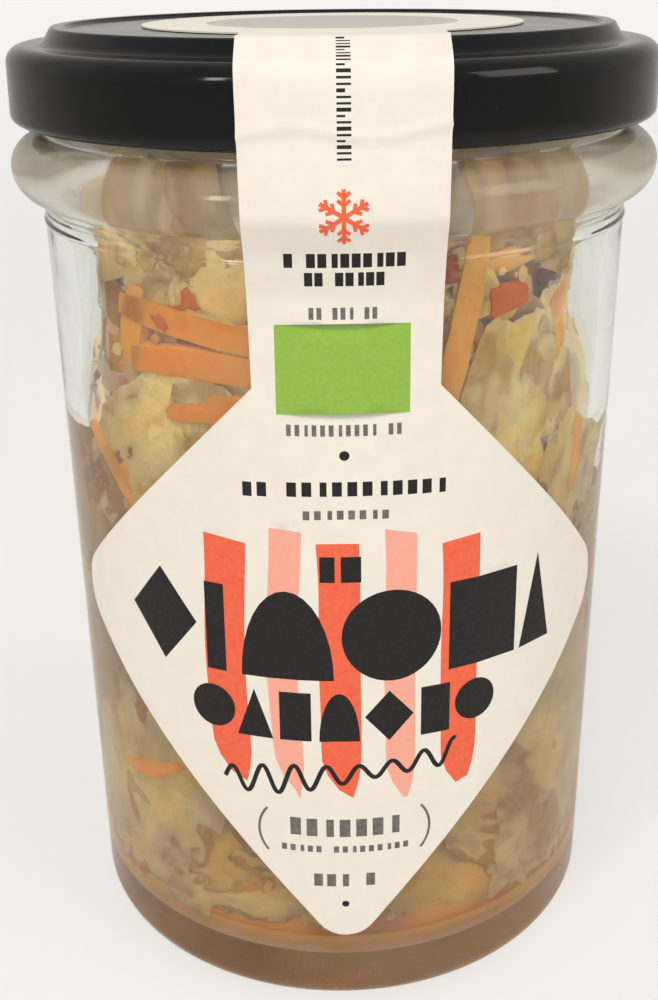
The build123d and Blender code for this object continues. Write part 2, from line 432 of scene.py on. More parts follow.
def printed_paper(name, ink, paper, cover):
    """Uncoated wood-free label paper, offset printed.

    Matt, with a soft fibre mottle. Fibres are about 0.03 mm, drawn as coarse as 0.5 mm so that they show.
    The ink sinks in, so it hides the paper by its cover and lets a little of the mottle through.
    """
    material, tree, coords = new_material(name)
    fibre = grain(tree, coords, 0.5, 6.0)
    mottle = spotted(tree, coords, 2.5, 0.3, 0.7, 5.0)
    tone = blend(tree, mottle, paper, [channel * 0.955 for channel in paper])
    if ink:
        tone = blend(tree, ramp(tree, fibre, cover, 1.0, 0.25, 0.75), tone, ink)
    return finished(material, add(tree, "BsdfPrincipled", {
        "Base Color": tone, "Roughness": ramp(tree, fibre, 0.5 if ink else 0.62, 0.8),
        "Normal": bumped(tree, fibre, 0.35, 0.05), "IOR": 1.45, "Specular IOR Level": 0.35,
    }))


def cloudy_brine(tint):
    """Lactic brine with chilli and vegetable juice: clear amber liquid, IOR 1.34."""
    material, tree, coords = new_material("Kimchi brine")
    haze = spotted(tree, coords, 9, 0.3, 0.75)
    liquid = add(tree, "BsdfPrincipled", {
        "Base Color": blend(tree, haze, tint, [tint[0], tint[1] * 0.94, tint[2] * 0.85]),
        "Roughness": ramp(tree, haze, 0.0, 0.03), "IOR": 1.34, "Transmission Weight": 1.0,
    })
    return finished(material, let_light_in(tree, liquid, linear("F6E7C6")))


WAVE_PERIOD = 0.314


def wet_flesh(name, pale, mid, deep, scatter, gloss, vein_gap, vein_pale):
    """Cut, salted and fermented vegetable: translucent, wet, uneven in tone from piece to piece.

    The "cut" attribute holds where a point lies on its piece, in mm along and across, and the piece's tone.
    """
    material, tree, coords = new_material(name)
    cut = add(tree, "Attribute", attribute_name="cut").outputs["Vector"]
    cut = add(tree, "SeparateXYZ", {"Vector": cut}).outputs
    patch = spotted(tree, coords, 8, 0.3, 0.72, 4.0)
    tone = blend(tree, cut["Z"], blend(tree, patch, pale, mid), deep)
    bruise = combine(tree, "MULTIPLY", spotted(tree, coords, 3.2, 0.56, 0.8, 5.0), 0.3)
    tone = blend(tree, bruise, tone, [channel * 0.72 for channel in deep])
    flat = add(tree, "CombineXYZ", {"X": cut["X"], "Y": cut["Y"]}).outputs[0]
    wave = add(tree, "TexWave", {
        "Vector": flat, "Scale": WAVE_PERIOD / vein_gap, "Distortion": 5.0, "Detail": 2.0,
        "Detail Scale": 0.6,
    }, bands_direction="Y")
    vein = ramp(tree, wave.outputs["Fac"], 0.0, 1.0, 0.62, 1.0)
    vein = combine(tree, "MULTIPLY", vein, vein_pale)
    tone = blend(tree, vein, tone, [min(channel * 1.2, 1.0) for channel in pale])
    height = combine(tree, "ADD", grain(tree, coords, 1.6, 3.0), vein)
    return finished(material, add(tree, "BsdfPrincipled", {
        "Base Color": tone, "Roughness": ramp(tree, patch, gloss, gloss + 0.2), "IOR": 1.38,
        "Normal": bumped(tree, height, 0.45, 0.35), "Subsurface Weight": scatter,
        "Subsurface Radius": (3.0 * MM, 2.0 * MM, 1.0 * MM), "Subsurface Scale": 1.0,
    }))


def gas_bubble():
    """Fermentation gas and drops against the glass: a clear thin skin, with a near-white rim that is a
    painted highlight.
    """
    material, tree, coords = new_material("Trapped gas bubble")
    film = spotted(tree, coords, 0.8, 0.3, 0.7)
    skin = add(tree, "BsdfPrincipled", {
        "Base Color": solid(linear("FBF6EA")), "Roughness": ramp(tree, film, 0.02, 0.12), "IOR": 1.33,
    })
    clear = add(tree, "BsdfTransparent", {"Color": solid(linear("FFFFFF"))})
    # Painted highlight: the near-white skin shows at the rim by the facing angle. It takes the place of the
    # light that a real bubble bends and reflects at its edge.
    rim = add(tree, "LayerWeight", {"Blend": 0.35}).outputs["Facing"]
    return finished(material, shared(tree, ramp(tree, rim, 0.12, 0.75), clear, skin))


# --- glass ------------------------------------------------------------------------------------
def quarter_oval(near, far, steps=12):
    """Quarter of an oval from a point on the glass out to the bead's widest point."""
    turns = [pi / 2 * step / steps for step in range(steps + 1)]
    return [
        Vector((near[0] + (far[0] - near[0]) * sin(turn), far[1] + (near[1] - far[1]) * cos(turn)))
        for turn in turns
    ]


def glass_path():
    """Half section of the jar, from the underside's middle up the outside and down the inside."""
    underside = [
        Vector((FOOT_RING_RADIUS * step / 12, PUSH_UP * (1 - (step / 12) ** 2))) for step in range(13)
    ]
    heel = rounded([
        (FOOT_RING_RADIUS, 0, 0),
        (BODY_FOOT_RADIUS - 0.06, 0, HEEL_RADIUS),
        (body_radius(BEAD_LOW / 2), BEAD_LOW / 2, 0),
        (BODY_TOP_RADIUS, BEAD_LOW - 0.4, 0),
    ], 10)
    under = quarter_oval((BODY_TOP_RADIUS, BEAD_LOW), (BEAD_RADIUS, BEAD_HEIGHT))
    over = quarter_oval((NECK_RADIUS, BEAD_HEIGHT + BEAD_TOP), (BEAD_RADIUS, BEAD_HEIGHT))
    over.reverse()
    low_wall = body_radius(FLOOR_TOP) - BODY_WALL
    inside = rounded([
        (NECK_RADIUS, BEAD_HEIGHT + BEAD_TOP + 0.4, 0),
        (NECK_RADIUS, GLASS_HEIGHT, 0.6),
        (BORE_RADIUS, GLASS_HEIGHT, 1.2),
        (BORE_RADIUS, FLARE_LOW + NECK_FLARE, 4.0),
        (body_radius(FLARE_LOW) - BODY_WALL, FLARE_LOW, 4.0),
        (low_wall, FLOOR_TOP + 0.05, CAVITY_CORNER),
        (low_wall / 2, FLOOR_TOP + FLOOR_DOME * 0.75, 0),
        (0, FLOOR_TOP + FLOOR_DOME, 0),
    ], 10)
    ridges = [Vector((body_radius(BEAD_LOW), BEAD_LOW - 3.3 + 0.16 * step)) for step in range(19)]
    return finer(underside[:-1] + heel[:-1] + ridges + under + over[1:] + inside, 0.8)


def thread_at(height, bearing):
    """How far the thread's ridges stand out at a place on the neck."""
    reach = 0.0
    for start in range(THREAD_STARTS):
        middle = 2 * pi * (start + 0.5) / THREAD_STARTS
        along = (bearing - middle + pi) % (2 * pi) - pi
        rise = height - THREAD_HEIGHT - NECK_RADIUS * along * tan(THREAD_TILT)
        if abs(along) < THREAD_HALF_ARC and abs(rise) < THREAD_HALF_HEIGHT:
            fade = min(1.0, 5 * (1 - abs(along) / THREAD_HALF_ARC))
            reach += THREAD_REACH * fade * (1 - (rise / THREAD_HALF_HEIGHT) ** 2)
    return reach


def glass_shape(settings):
    """How the turned glass departs from round: threads, mould seams and the wavy inside wall."""
    seam = settings.seam / MM
    waviness = settings.waviness / MM

    def shape(radius, height, bearing):
        outside = radius > (body_radius(height) - BODY_WALL / 2) or height < FLOOR_TOP / 2
        spot = Vector((sin(bearing) * 1.6, cos(bearing) * 1.6, height / 19))
        if not outside and FLOOR_TOP + 0.5 < height < FLARE_LOW + NECK_FLARE:
            return radius + waviness * noise.noise(spot * 1.7), height
        if BEAD_HEIGHT + BEAD_TOP < height < GLASS_HEIGHT - 0.8 and radius > BORE_RADIUS + 1.5:
            return radius + thread_at(height, bearing), height
        if outside and height > HEEL_RADIUS:
            for seam_height in SEAM_HEIGHTS:
                radius += seam * exp(-((height - seam_height) / SEAM_HALF_HEIGHT) ** 2)
            radius += 0.03 * (noise.noise(spot * 2.3) - 0.5) if height < BEAD_LOW - 3 else 0.0
        return radius, height

    return shape


class KIMCHI_OT_glass(bpy.types.Operator):
    """Turn the glass jar, with its thread, bead, seams and thick floor"""
    bl_idname = "kimchi.glass"
    bl_label = "Glass jar"

    def execute(self, context):
        settings = context.scene.kimchi_glass
        glass = soda_lime_glass(settings.glass)
        jar = lathe("glass_jar", glass_path(), settings.segments, [glass], shape=glass_shape(settings))
        point_inward_out(jar)
        dress(jar, "jar_glass", "jar")
        return {"FINISHED"}


# --- lid --------------------------------------------------------------------------------------
def lid_path():
    """Half section of the lid: panel, rim, step, ring, shoulder, skirt and rolled edge, then back inside."""
    panel = LID_TOP - PANEL_RECESS
    step_foot = PANEL_RADIUS + STEP_RUN
    curl = LID_BOTTOM + LID_CURL
    outside = rounded([
        (0, panel, 0),
        (PANEL_RADIUS - PANEL_RIM - PANEL_RECESS, panel, 0.25),
        (PANEL_RADIUS - PANEL_RIM, LID_TOP, 0.25),
        (PANEL_RADIUS, LID_TOP, 0.45),
        (step_foot, RING_HEIGHT, 1.3),
        (LID_RADIUS, RING_HEIGHT, LID_SHOULDER),
        (LID_RADIUS, curl, 0),
    ], 10)
    roll = [
        Vector((LID_RADIUS - LID_CURL + LID_CURL * cos(turn), curl - LID_CURL * sin(turn)))
        for turn in (pi * step / 16 for step in range(1, 24))
    ]
    wall = LID_RADIUS - LID_SHEET
    inside = rounded([
        (wall, curl + 2 * LID_CURL, 0),
        (wall, RING_HEIGHT - LID_SHEET, 1.0),
        (step_foot - LID_SHEET, RING_HEIGHT - LID_SHEET, 0.3),
        (PANEL_RADIUS - LID_SHEET, panel - LID_SHEET, 0.3),
        (0, panel - LID_SHEET, 0),
    ], 6)
    return finer(outside, 0.8), roll, finer(inside, 1.2)


class KIMCHI_OT_lid(bpy.types.Operator):
    """Press the twist-off lid, with its raised panel and rolled edge"""
    bl_idname = "kimchi.lid"
    bl_label = "Twist-off lid"

    def execute(self, context):
        settings = context.scene.kimchi_glass
        outside, roll, inside = lid_path()
        enamelled = len(outside) + len(roll) - 1
        lid = lathe(
            "twist_lid", outside + roll + inside, settings.segments,
            [tinplate_enamel(settings.enamel), lid_lining(settings.lining)],
            pick=lambda row: 0 if row < enamelled else 1,
        )
        point_inward_out(lid)
        dress(lid, "lid_enamel", "lid")
        return {"FINISHED"}


# --- label ------------------------------------------------------------------------------------
LABEL_CENTRE = 0.4
STRIP_CENTRE = 0.95
STRIP_HALF_WIDTH = 9.05
STRIP_LID_HALF_WIDTH = 9.85
DISC_RADIUS = 20.5
DIAMOND_TOP = 72.6
DIAMOND_MIDDLE = 45.2
DIAMOND_FOOT = LABEL_FOOT - 2.3
DIAMOND_HALF_WIDTH = 36.9
DIAMOND_SIDE_CORNER = 5.0
DIAMOND_FOOT_CORNER = 3.6
UPPER_BOW = 0.35
LOWER_BOW = 1.7
BRIDGE = 7.5
PAPER_GAP = 0.06
CUT_STEP = 0.45
FLAT_STEP = 1.1
HALF_COLUMNS = 38


def label_route():
    """The paper's way down the front as points (radius, height), from the lid's middle to the foot."""
    panel = LID_TOP - PANEL_RECESS
    route = rounded([
        (0, panel, 0),
        (PANEL_RADIUS - PANEL_RIM - 2 * PANEL_RECESS, panel, 0.8),
        (PANEL_RADIUS - PANEL_RIM, LID_TOP, 0.8),
        (PANEL_RADIUS, LID_TOP, 0.6),
        (LID_RADIUS - 0.3, RING_HEIGHT - 0.3, 2.0),
        (LID_RADIUS, RING_HEIGHT - 2.6, 2.0),
        (LID_RADIUS, LID_BOTTOM + LID_CURL, 6.0),
        (BEAD_RADIUS, BEAD_HEIGHT + BEAD_TOP / 3, 4.0),
        (BEAD_RADIUS, BEAD_HEIGHT - BEAD_BOTTOM / 3, 2.0),
        (body_radius(BEAD_LOW) + 1.5, BEAD_LOW - 0.6, 3.0),
        (body_radius(BEAD_LOW - BRIDGE) + 0.25, BEAD_LOW - BRIDGE + 2.4, 8.0),
        (body_radius(BEAD_LOW - BRIDGE - 2), BEAD_LOW - BRIDGE - 2, 0),
        (body_radius(LABEL_FOOT - 1), LABEL_FOOT - 1, 0),
    ], 8)
    return finer(route, 0.4)


class Route:
    """Lengths along the label's way down the front."""

    def __init__(self, points):
        self.points = points
        self.lengths = [0.0]
        for before, after in zip(points, points[1:]):
            self.lengths.append(self.lengths[-1] + (after - before).length)

    def at(self, run):
        """The point (radius, height) at a length along the way, and its outward normal."""
        run = min(max(run, 0.0), self.lengths[-1] - 1e-6)
        low, high = 0, len(self.lengths) - 1
        while high - low > 1:
            middle = (low + high) // 2
            if self.lengths[middle] <= run:
                low = middle
            else:
                high = middle
        before, after = self.points[low], self.points[high]
        way = (after - before).normalized()
        share = (run - self.lengths[low]) / (self.lengths[high] - self.lengths[low])
        return before.lerp(after, share), Vector((-way.y, way.x))

    def down_to(self, height):
        """Length along the way at which it has come down to a height."""
        for index in range(1, len(self.points)):
            above, below = self.points[index - 1].y, self.points[index].y
            if below <= height < above:
                share = (above - height) / (above - below)
                return self.lengths[index - 1] + share * (self.lengths[index] - self.lengths[index - 1])
        return self.lengths[-1]


def bowed(start, end, bow, parts=14):
    """Points on a shallow arc from start to just before end, bowed to the right of the way it runs."""
    start, end = Vector(start), Vector(end)
    way = end - start
    aside = Vector((way.y, -way.x)).normalized()
    shares = [part / parts for part in range(parts)]
    return [start.lerp(end, share) + aside * bow * 4 * share * (1 - share) for share in shares]


def label_outline(route):
    """The flat label's outline as points (across, run down the front)."""
    down = route.down_to
    strip_left, strip_right = STRIP_CENTRE - STRIP_HALF_WIDTH, STRIP_CENTRE + STRIP_HALF_WIDTH
    left = (LABEL_CENTRE - DIAMOND_HALF_WIDTH, DIAMOND_MIDDLE)
    right = (LABEL_CENTRE + DIAMOND_HALF_WIDTH, DIAMOND_MIDDLE)
    foot = (LABEL_CENTRE, DIAMOND_FOOT)
    sides = bowed((strip_left, DIAMOND_TOP), left, -UPPER_BOW)
    sides += bowed(left, foot, -LOWER_BOW)
    sides += bowed(foot, right, -LOWER_BOW)
    sides += bowed(right, (strip_right, DIAMOND_TOP), -UPPER_BOW)
    sides.append(Vector((strip_right, DIAMOND_TOP)))
    corners = ((left, DIAMOND_SIDE_CORNER), (foot, DIAMOND_FOOT_CORNER), (right, DIAMOND_SIDE_CORNER))
    for corner, fillet in corners:
        sides = round_off(sides, Vector(corner), fillet)
    outline = [(point.x, down(point.y)) for point in sides]
    start = asin((STRIP_CENTRE + STRIP_LID_HALF_WIDTH) / DISC_RADIUS)
    end = 2 * pi + asin((STRIP_CENTRE - STRIP_LID_HALF_WIDTH) / DISC_RADIUS)
    turns = [start + (end - start) * step / 72 for step in range(73)]
    return outline + [(DISC_RADIUS * sin(turn), DISC_RADIUS * cos(turn)) for turn in turns]


def round_off(points, corner, fillet, steps=10):
    """Round one corner of a run of points, dropping the points that the fillet takes away."""
    place = min(range(len(points)), key=lambda index: (points[index] - corner).length)
    first = (points[place - 2] - corner).normalized()
    last = (points[place + 2] - corner).normalized()
    half = first.angle(last) / 2
    reach = fillet / tan(half)
    centre = corner + (first + last).normalized() * fillet / sin(half)
    start, end = corner + first * reach - centre, corner + last * reach - centre
    arc = [centre + start.slerp(end, step / steps) * fillet for step in range(steps + 1)]
    head = [point for point in points[:place] if (point - corner).length > reach]
    tail = [point for point in points[place + 1:] if (point - corner).length > reach]
    return head + arc + tail


def block(left, right, low, high, lean=0.0):
    """An upright bar, leaning to the right by a share of its height."""
    shift = (high - low) * lean / 2
    return [(left - shift, low), (right - shift, low), (right + shift, high), (left + shift, high)]


def disc(x, z, radius, parts=28, squash=1.0):
    """A filled round."""
    return [
        (x + radius * cos(2 * pi * step / parts), z + radius * squash * sin(2 * pi * step / parts))
        for step in range(parts)
    ]


def diamond(left, right, low, high):
    """A square stood on its corner."""
    x, z = (left + right) / 2, (low + high) / 2
    return [(left, z), (x, low), (right, z), (x, high)]


def wedge(left, right, low, high):
    """A triangle on its base."""
    return [(left, low), (right, low), ((left + right) / 2, high)]


def dome(left, right, low, high, parts=16):
    """Half a round on its flat side."""
    x, half = (left + right) / 2, (right - left) / 2
    turns = [pi * part / parts for part in range(parts + 1)]
    return [(x + half * cos(turn), low + (high - low) * sin(turn)) for turn in turns]


def stroke(points, width):
    """A line of even width along points."""
    points = [Vector(point) for point in points]
    one, other = [], []
    for index, here in enumerate(points):
        way = points[min(index + 1, len(points) - 1)] - points[max(index - 1, 0)]
        aside = Vector((-way.y, way.x)).normalized() * width / 2
        one.append(tuple(here + aside))
        other.append(tuple(here - aside))
    return one + other[::-1]


def dummy_row(words, x, z, size, gap, sag=0.0):
    """A row of dummy type, one plain upright block a sign, centred on x. sag lowers the row's ends.

    words gives the number of signs in each word, and size how wide and tall a sign is.
    """
    wide, tall = size
    pitch = wide + gap
    total = pitch * (sum(words) + len(words) - 1) - gap
    left = x - total / 2
    blocks = []
    for word in words:
        for sign in range(word):
            drop = sag * ((left + wide / 2 - x) / (total / 2)) ** 2
            narrow = 0.3 * wide if sign % 4 == 2 else 0.0
            blocks.append(block(left + narrow, left + wide, z - tall / 2 - drop, z + tall / 2 - drop))
            left += pitch
        left += pitch
    return blocks


def brush_stripe(left, right, low, high, slant_top, slant_low, wander):
    """One broad brush stroke: slanted ends, sides that wander, and a rounded lower corner."""
    parts = 16
    one, other = [], []
    for step in range(parts + 1):
        share = step / parts
        drift = wander * sin(pi * share)
        left_z = low + slant_low + (high - low - slant_low) * share
        right_z = low + (high + slant_top - low) * share
        pinch = 2.1 * max(0.0, 1 - share * 6) ** 2
        one.append((left - drift + 0.12 * sin(9 * share) + pinch, left_z))
        other.append((right - drift + 0.1 * sin(7 * share + 1) - pinch * 0.35, right_z))
    return one + other[::-1]


def frost_star(x, z, radius, width):
    """Six arms with two pairs of side twigs each."""
    arms = []
    for arm in range(6):
        way = Vector((sin(pi * arm / 3), cos(pi * arm / 3)))
        centre = Vector((x, z))
        arms.append(stroke([centre, centre + way * radius], width))
        for share in (0.42, 0.7):
            knee = centre + way * radius * share
            for side in (1, -1):
                twig = Vector((sin(pi * arm / 3 + side * 0.85), cos(pi * arm / 3 + side * 0.85)))
                arms.append(stroke([knee, knee + twig * radius * 0.3], width * 0.85))
    return arms


def label_print():
    """Every printed shape as (ink, outline across and up the front), the lowest ink first."""
    red, pink, black, grey, green = 1, 2, 3, 4, 5
    shapes = [(red, arm) for arm in frost_star(0.8, 89.5, 2.45, 0.4)]
    shapes.append((green, block(-5.75, 6.95, 70.15, 78.95)))
    stripes = (
        (red, -13.9, -9.4, 28.6, 57.0, -0.6, 0.9, 0.3),
        (pink, -6.9, -3.7, 27.2, 58.3, -0.3, 1.0, 0.5),
        (red, -2.3, 1.9, 27.4, 56.8, 0.0, 1.0, -0.3),
        (pink, 4.5, 7.7, 27.0, 58.2, -0.7, 0.0, -0.1),
        (red, 10.4, 14.6, 28.0, 56.0, 0.4, -0.5, -0.2),
    )
    for ink, *stripe in stripes:
        shapes.append((ink, brush_stripe(*stripe)))
    low, high = 41.5, 51.5
    shapes += [
        (black, diamond(-24.0, -15.2, low - 0.4, high + 0.4)),
        (black, block(-14.1, -11.9, low, high)),
        (black, dome(-10.2, -0.6, low, high)),
        (black, disc(5.35, 46.4, 5.15, 40)),
        (black, block(11.4, 19.6, low, high)),
        (black, wedge(20.3, 25.0, low, high + 0.6)),
    ]
    low, high = 34.3, 40.0
    shapes += [
        (black, disc(-13.6, 37.15, 2.5)),
        (black, wedge(-10.9, -7.0, low, high)),
        (black, block(-6.3, -3.0, low, high)),
        (black, dome(-2.2, 2.0, low, high)),
        (black, diamond(2.5, 7.6, low - 0.1, high + 0.1)),
        (black, block(8.4, 11.6, low, high)),
        (black, disc(14.6, 37.3, 2.4)),
    ]
    shapes += [(black, block(-1.9, -0.4, 52.6, 55.4)), (black, block(0.2, 2.2, 52.6, 55.4))]
    wave = []
    for step in range(121):
        along = step / 120
        swell = 1.25 + 0.45 * sin(7 * along)
        wave.append((-12.6 + 25.0 * along, 28.7 + 3.0 * along + swell * sin(46 * along)))
    shapes.append((black, stroke(wave, 0.5)))
    for side in (-1, 1):
        turns = [radians(-40 + 8 * k) for k in range(11)]
        bracket = [(0.3 + side * (5.0 + 4.2 * cos(turn)), 23.0 + 4.2 * sin(turn)) for turn in turns]
        shapes.append((grey, stroke(bracket, 0.28)))
    rows = (
        (black, (1, 9), 0.85, 85.35, (0.8, 1.4), 0.22, 0.0),
        (black, (2, 5), 0.8, 83.5, (0.75, 1.35), 0.18, 0.0),
        (grey, (2, 3, 2), 0.65, 80.1, (0.45, 1.15), 0.28, 0.0),
        (grey, (11, 2), 0.65, 68.6, (0.45, 1.15), 0.36, 0.0),
        (black, (2, 11), 0.65, 62.6, (0.95, 1.5), 0.52, 0.35),
        (grey, (8,), 0.75, 59.9, (0.65, 0.95), 0.45, 0.1),
        (grey, (7,), 0.35, 23.6, (1.15, 2.2), 0.6, -0.15),
        (grey, (5, 9), 0.35, 20.9, (0.55, 0.8), 0.38, -0.1),
        (grey, (3, 1), 0.25, 16.9, (0.95, 1.6), 0.45, -0.05),
    )
    for ink, *row in rows:
        shapes += [(ink, sign) for sign in dummy_row(*row)]
    shapes += [(black, disc(0.65, 66.05, 0.5, 16)), (black, disc(0.35, 13.8, 0.4, 16))]
    return shapes


def lid_print(route):
    """Shapes on the strip over the lid's edge and on the lid itself, as (ink, outline across and along)."""
    dark, grey = 3, 6
    # The disc's pale grey ink is partly painted sheen, standing for the gloss of a darker ink seen at a
    # grazing angle.
    shapes = [(grey, disc(0.0, 0.0, 13.6, 64))]
    start, end = route.down_to(LID_TOP - 0.05), route.down_to(94.2)
    ticks = 24
    for tick in range(ticks):
        run = start + (end - start) * (tick + 0.5) / ticks
        half = 0.1 if tick % 3 else 0.17
        shapes.append((dark, block(0.25, 1.5 if tick % 4 else 1.0, run - half, run + half)))
    return shapes


def inside_outline(x, y, outline):
    """Whether a point is inside an outline."""
    inside = False
    before_x, before_y = outline[-1]
    for here_x, here_y in outline:
        if (here_y > y) != (before_y > y):
            if x < (before_x - here_x) * (y - here_y) / (before_y - here_y) + here_x:
                inside = not inside
        before_x, before_y = here_x, here_y
    return inside


def edges_of(shape):
    """Left, right, low and high edges of a flat shape."""
    across, along = zip(*shape)
    return min(across), max(across), min(along), max(along)


def ink_at(x, y, prints):
    """The last ink printed at a point, or 0 where the paper is bare."""
    top = 0
    for ink, shape, (left, right, low, high) in prints:
        if left <= x <= right and low <= y <= high and inside_outline(x, y, shape):
            top = ink
    return top


def flat_label(route):
    """The label cut and printed flat: points, triangles and the ink of each triangle."""
    outline = [Vector(point) for point in label_outline(route)]
    outline = [(point.x, point.y) for point in finer(outline + outline[:1], CUT_STEP)[:-1]]
    prints = lid_print(route)
    for ink, shape in label_print():
        prints.append((ink, [(x, route.down_to(z)) for x, z in shape]))
    points, edges = [], []
    for shape in [outline] + [shape for _, shape in prints]:
        first = len(points)
        points += [Vector(point) for point in shape]
        edges += [(first + k, first + (k + 1) % len(shape)) for k in range(len(shape))]
    bends = (route.down_to(LID_TOP - 0.01), route.down_to(BEAD_LOW - BRIDGE))
    run = -DISC_RADIUS
    while run < route.lengths[-1]:
        for column in range(-HALF_COLUMNS, HALF_COLUMNS + 1):
            spot = (column + 0.37, run)
            if inside_outline(*spot, outline):
                points.append(Vector(spot))
        run += CUT_STEP if bends[0] - 3 < run < bends[1] else FLAT_STEP
    made, _, triangles, _, _, _ = delaunay_2d_cdt(points, edges, [], 0, 1e-5)
    prints = [(ink, shape, edges_of(shape)) for ink, shape in prints]
    faces, inks = [], []
    for triangle in triangles:
        x = sum(made[k].x for k in triangle) / 3
        y = sum(made[k].y for k in triangle) / 3
        if inside_outline(x, y, outline):
            faces.append(triangle)
            inks.append(ink_at(x, y, prints))
    return made, faces, inks


def wrapped(route, across, run, lift):
    """Where a point of the flat label lies on the closed jar, as (x, y, z)."""
    spot, normal = route.at(abs(run))
    radius, height = spot.x + normal.x * lift, spot.y + normal.y * lift
    girth = body_radius(min(height, BEAD_LOW))
    x = girth * sin(across / girth)
    if height < LID_TOP - 0.5:
        return x, -sqrt(radius ** 2 - x ** 2), height
    flat_end = route.down_to(LID_TOP - 0.01)
    share = min(max((run - DISC_RADIUS) / (flat_end - DISC_RADIUS), 0.0), 1.0)
    curved = sqrt(max(radius ** 2 - across ** 2, 0.0)) if share else 0.0
    y = run if run < DISC_RADIUS else (1 - share) * radius + share * curved
    return across + (x - across) * share, -y, height


def laid_on(route, flat, thickness):
    """The flat label's points on the closed jar, with the paper's creases on the lid's skirt."""
    folded = route.down_to(LID_BOTTOM + 1.9)
    points = []
    for spot in flat:
        crease = noise.noise(Vector((spot.x / 9, spot.y / 3.2, 4.0))) * 0.09
        fold = spot.y - folded - 0.5 * sin(spot.x * 0.45)
        crease = abs(crease) + 0.2 * exp(-(fold / 0.45) ** 2) - 0.05 * exp(-((fold - 1.3) / 0.6) ** 2)
        cockle = noise.noise(Vector((spot.x / 16, spot.y / 13, 9.0))) * 0.03
        x, y, z = wrapped(route, spot.x, spot.y, PAPER_GAP + thickness)
        on_skirt = LID_BOTTOM - 2.5 < z < RING_HEIGHT - 0.2
        outward = Vector((x, y, 0)).normalized() if z < RING_HEIGHT - 0.2 else Vector((0, 0, 0))
        lift = (max(crease, 0.0) if on_skirt else 0.0) + abs(cockle) * 0.5
        points.append(Vector((x, y, z)) + outward * lift)
    return points


class KIMCHI_OT_label(bpy.types.Operator):
    """Cut, print and wrap the one-piece label, from the disc on the lid to the diamond on the front"""
    bl_idname = "kimchi.label"
    bl_label = "Paper label"

    def execute(self, context):
        settings = context.scene.kimchi_label
        route = Route(label_route())
        flat, faces, inks = flat_label(route)
        printing = (
            ("red", settings.red, 0.93), ("pink", settings.pink, 0.9), ("black", settings.black, 0.995),
            ("grey", settings.grey, 0.85), ("green", settings.green, 0.92),
            # The disc's pale grey ink is partly painted sheen: it stands for the gloss of a darker ink seen
            # at a grazing angle.
            ("light grey with painted sheen", linear("C6C1BB"), 0.92),
        )
        papers = [printed_paper("Wood-free label paper", None, settings.paper, 1.0)]
        for name, ink, cover in printing:
            papers.append(printed_paper("Offset ink on paper, " + name, ink, settings.paper, cover))
        points = laid_on(route, flat, settings.thickness / MM)
        label = new_piece("wrap_label", points, faces, papers, inks)
        up = sum(1 for polygon in label.data.polygons if polygon.normal.y < 0 or polygon.normal.z > 0.5)
        if up < len(label.data.polygons) / 2:
            label.data.flip_normals()
        body = label.modifiers.new("Thickness", "SOLIDIFY")
        body.thickness = settings.thickness
        body.offset = -1.0
        body.material_offset_rim = -10
        sheet = bpy.data.meshes.new_from_object(label.evaluated_get(context.evaluated_depsgraph_get()))
        label.modifiers.clear()
        label.data = sheet
        sheet.set_sharp_from_angle(angle=radians(50))
        dress(label, "label_paper", "label")
        return {"FINISHED"}


# --- contents ---------------------------------------------------------------------------------
class Pile:
    """Many pieces of one kind gathered into one mesh."""

    def __init__(self):
        self.points = []
        self.faces = []
        self.cuts = []

    def slab(self, outer, inner, cuts, tone):
        """A closed slab from two grids of points, outside and inside, with the same rows."""
        first = len(self.points)
        rows, columns = len(outer), len(outer[0])
        for grid in (outer, inner):
            for row, line in enumerate(grid):
                self.points += line
                self.cuts += [(u, v, tone) for u, v in cuts[row]]
        size = rows * columns
        for row in range(rows - 1):
            for column in range(columns - 1):
                a = first + row * columns + column
                self.faces.append((a, a + 1, a + columns + 1, a + columns))
                self.faces.append((a + size, a + size + columns, a + size + columns + 1, a + size + 1))
        rim = [row * columns for row in range(rows)]
        rim += [(rows - 1) * columns + column for column in range(1, columns)]
        rim += [row * columns + columns - 1 for row in range(rows - 2, -1, -1)]
        rim += list(range(columns - 2, 0, -1))
        for a, b in zip(rim, rim[1:] + rim[:1]):
            self.faces.append((first + a, first + b, first + b + size, first + a + size))

    def closed(self, rings, cuts, tone):
        """A closed tube of rings, with a flat fan at each end."""
        first = len(self.points)
        around = len(rings[0])
        for ring, line in zip(rings, cuts):
            self.points += ring
            self.cuts += [(u, v, tone) for u, v in line]
        for row in range(len(rings) - 1):
            for step in range(around):
                a = first + row * around + step
                b = first + row * around + (step + 1) % around
                self.faces.append((a, b, b + around, a + around))
        last = first + (len(rings) - 1) * around
        self.faces.append(tuple(range(first + around - 1, first - 1, -1)))
        self.faces.append(tuple(range(last, last + around)))

    def build(self, name, material):
        """The mesh object."""
        piece = new_piece(name, self.points, self.faces, [material])
        cut = piece.data.attributes.new("cut", "FLOAT_VECTOR", "POINT")
        cut.data.foreach_set("vector", [value for spot in self.cuts for value in spot])
        point_inward_out(piece)
        piece.data.set_sharp_from_angle(angle=radians(52))
        return piece


PRESSED_IN = 0.3
FLAKE_BITE = 0.28
BRINE_IN = 0.2
SIDE_HOLLOW = 2.8
HOLLOW_LOW, HOLLOW_HIGH = 60.0, 78.0
CORE_RADIUS = 26.0
CORE_FREE = 13.0
MEAN_WALL_RADIUS = 29.0
GOLDEN_TURN = 2.39996
NEAR_TOP = (74.0, 84.0)
BEHIND_BEAD = (84.0, 88.0)
SIDE_LEAVES = 14
SHREDS_IN_CLUSTER = 15


def smooth_step(value, low, high):
    """0 below low, 1 above high, and eased between."""
    share = min(max((value - low) / (high - low), 0.0), 1.0)
    return share * share * (3 - 2 * share)


def stand_off(bearing, height):
    """How far the packed vegetables keep off the wall: they sank away from it at the sides, high up."""
    side = smooth_step(abs(sin(bearing)), 0.72, 0.93)
    return SIDE_HOLLOW * side * smooth_step(height, HOLLOW_LOW, HOLLOW_HIGH)


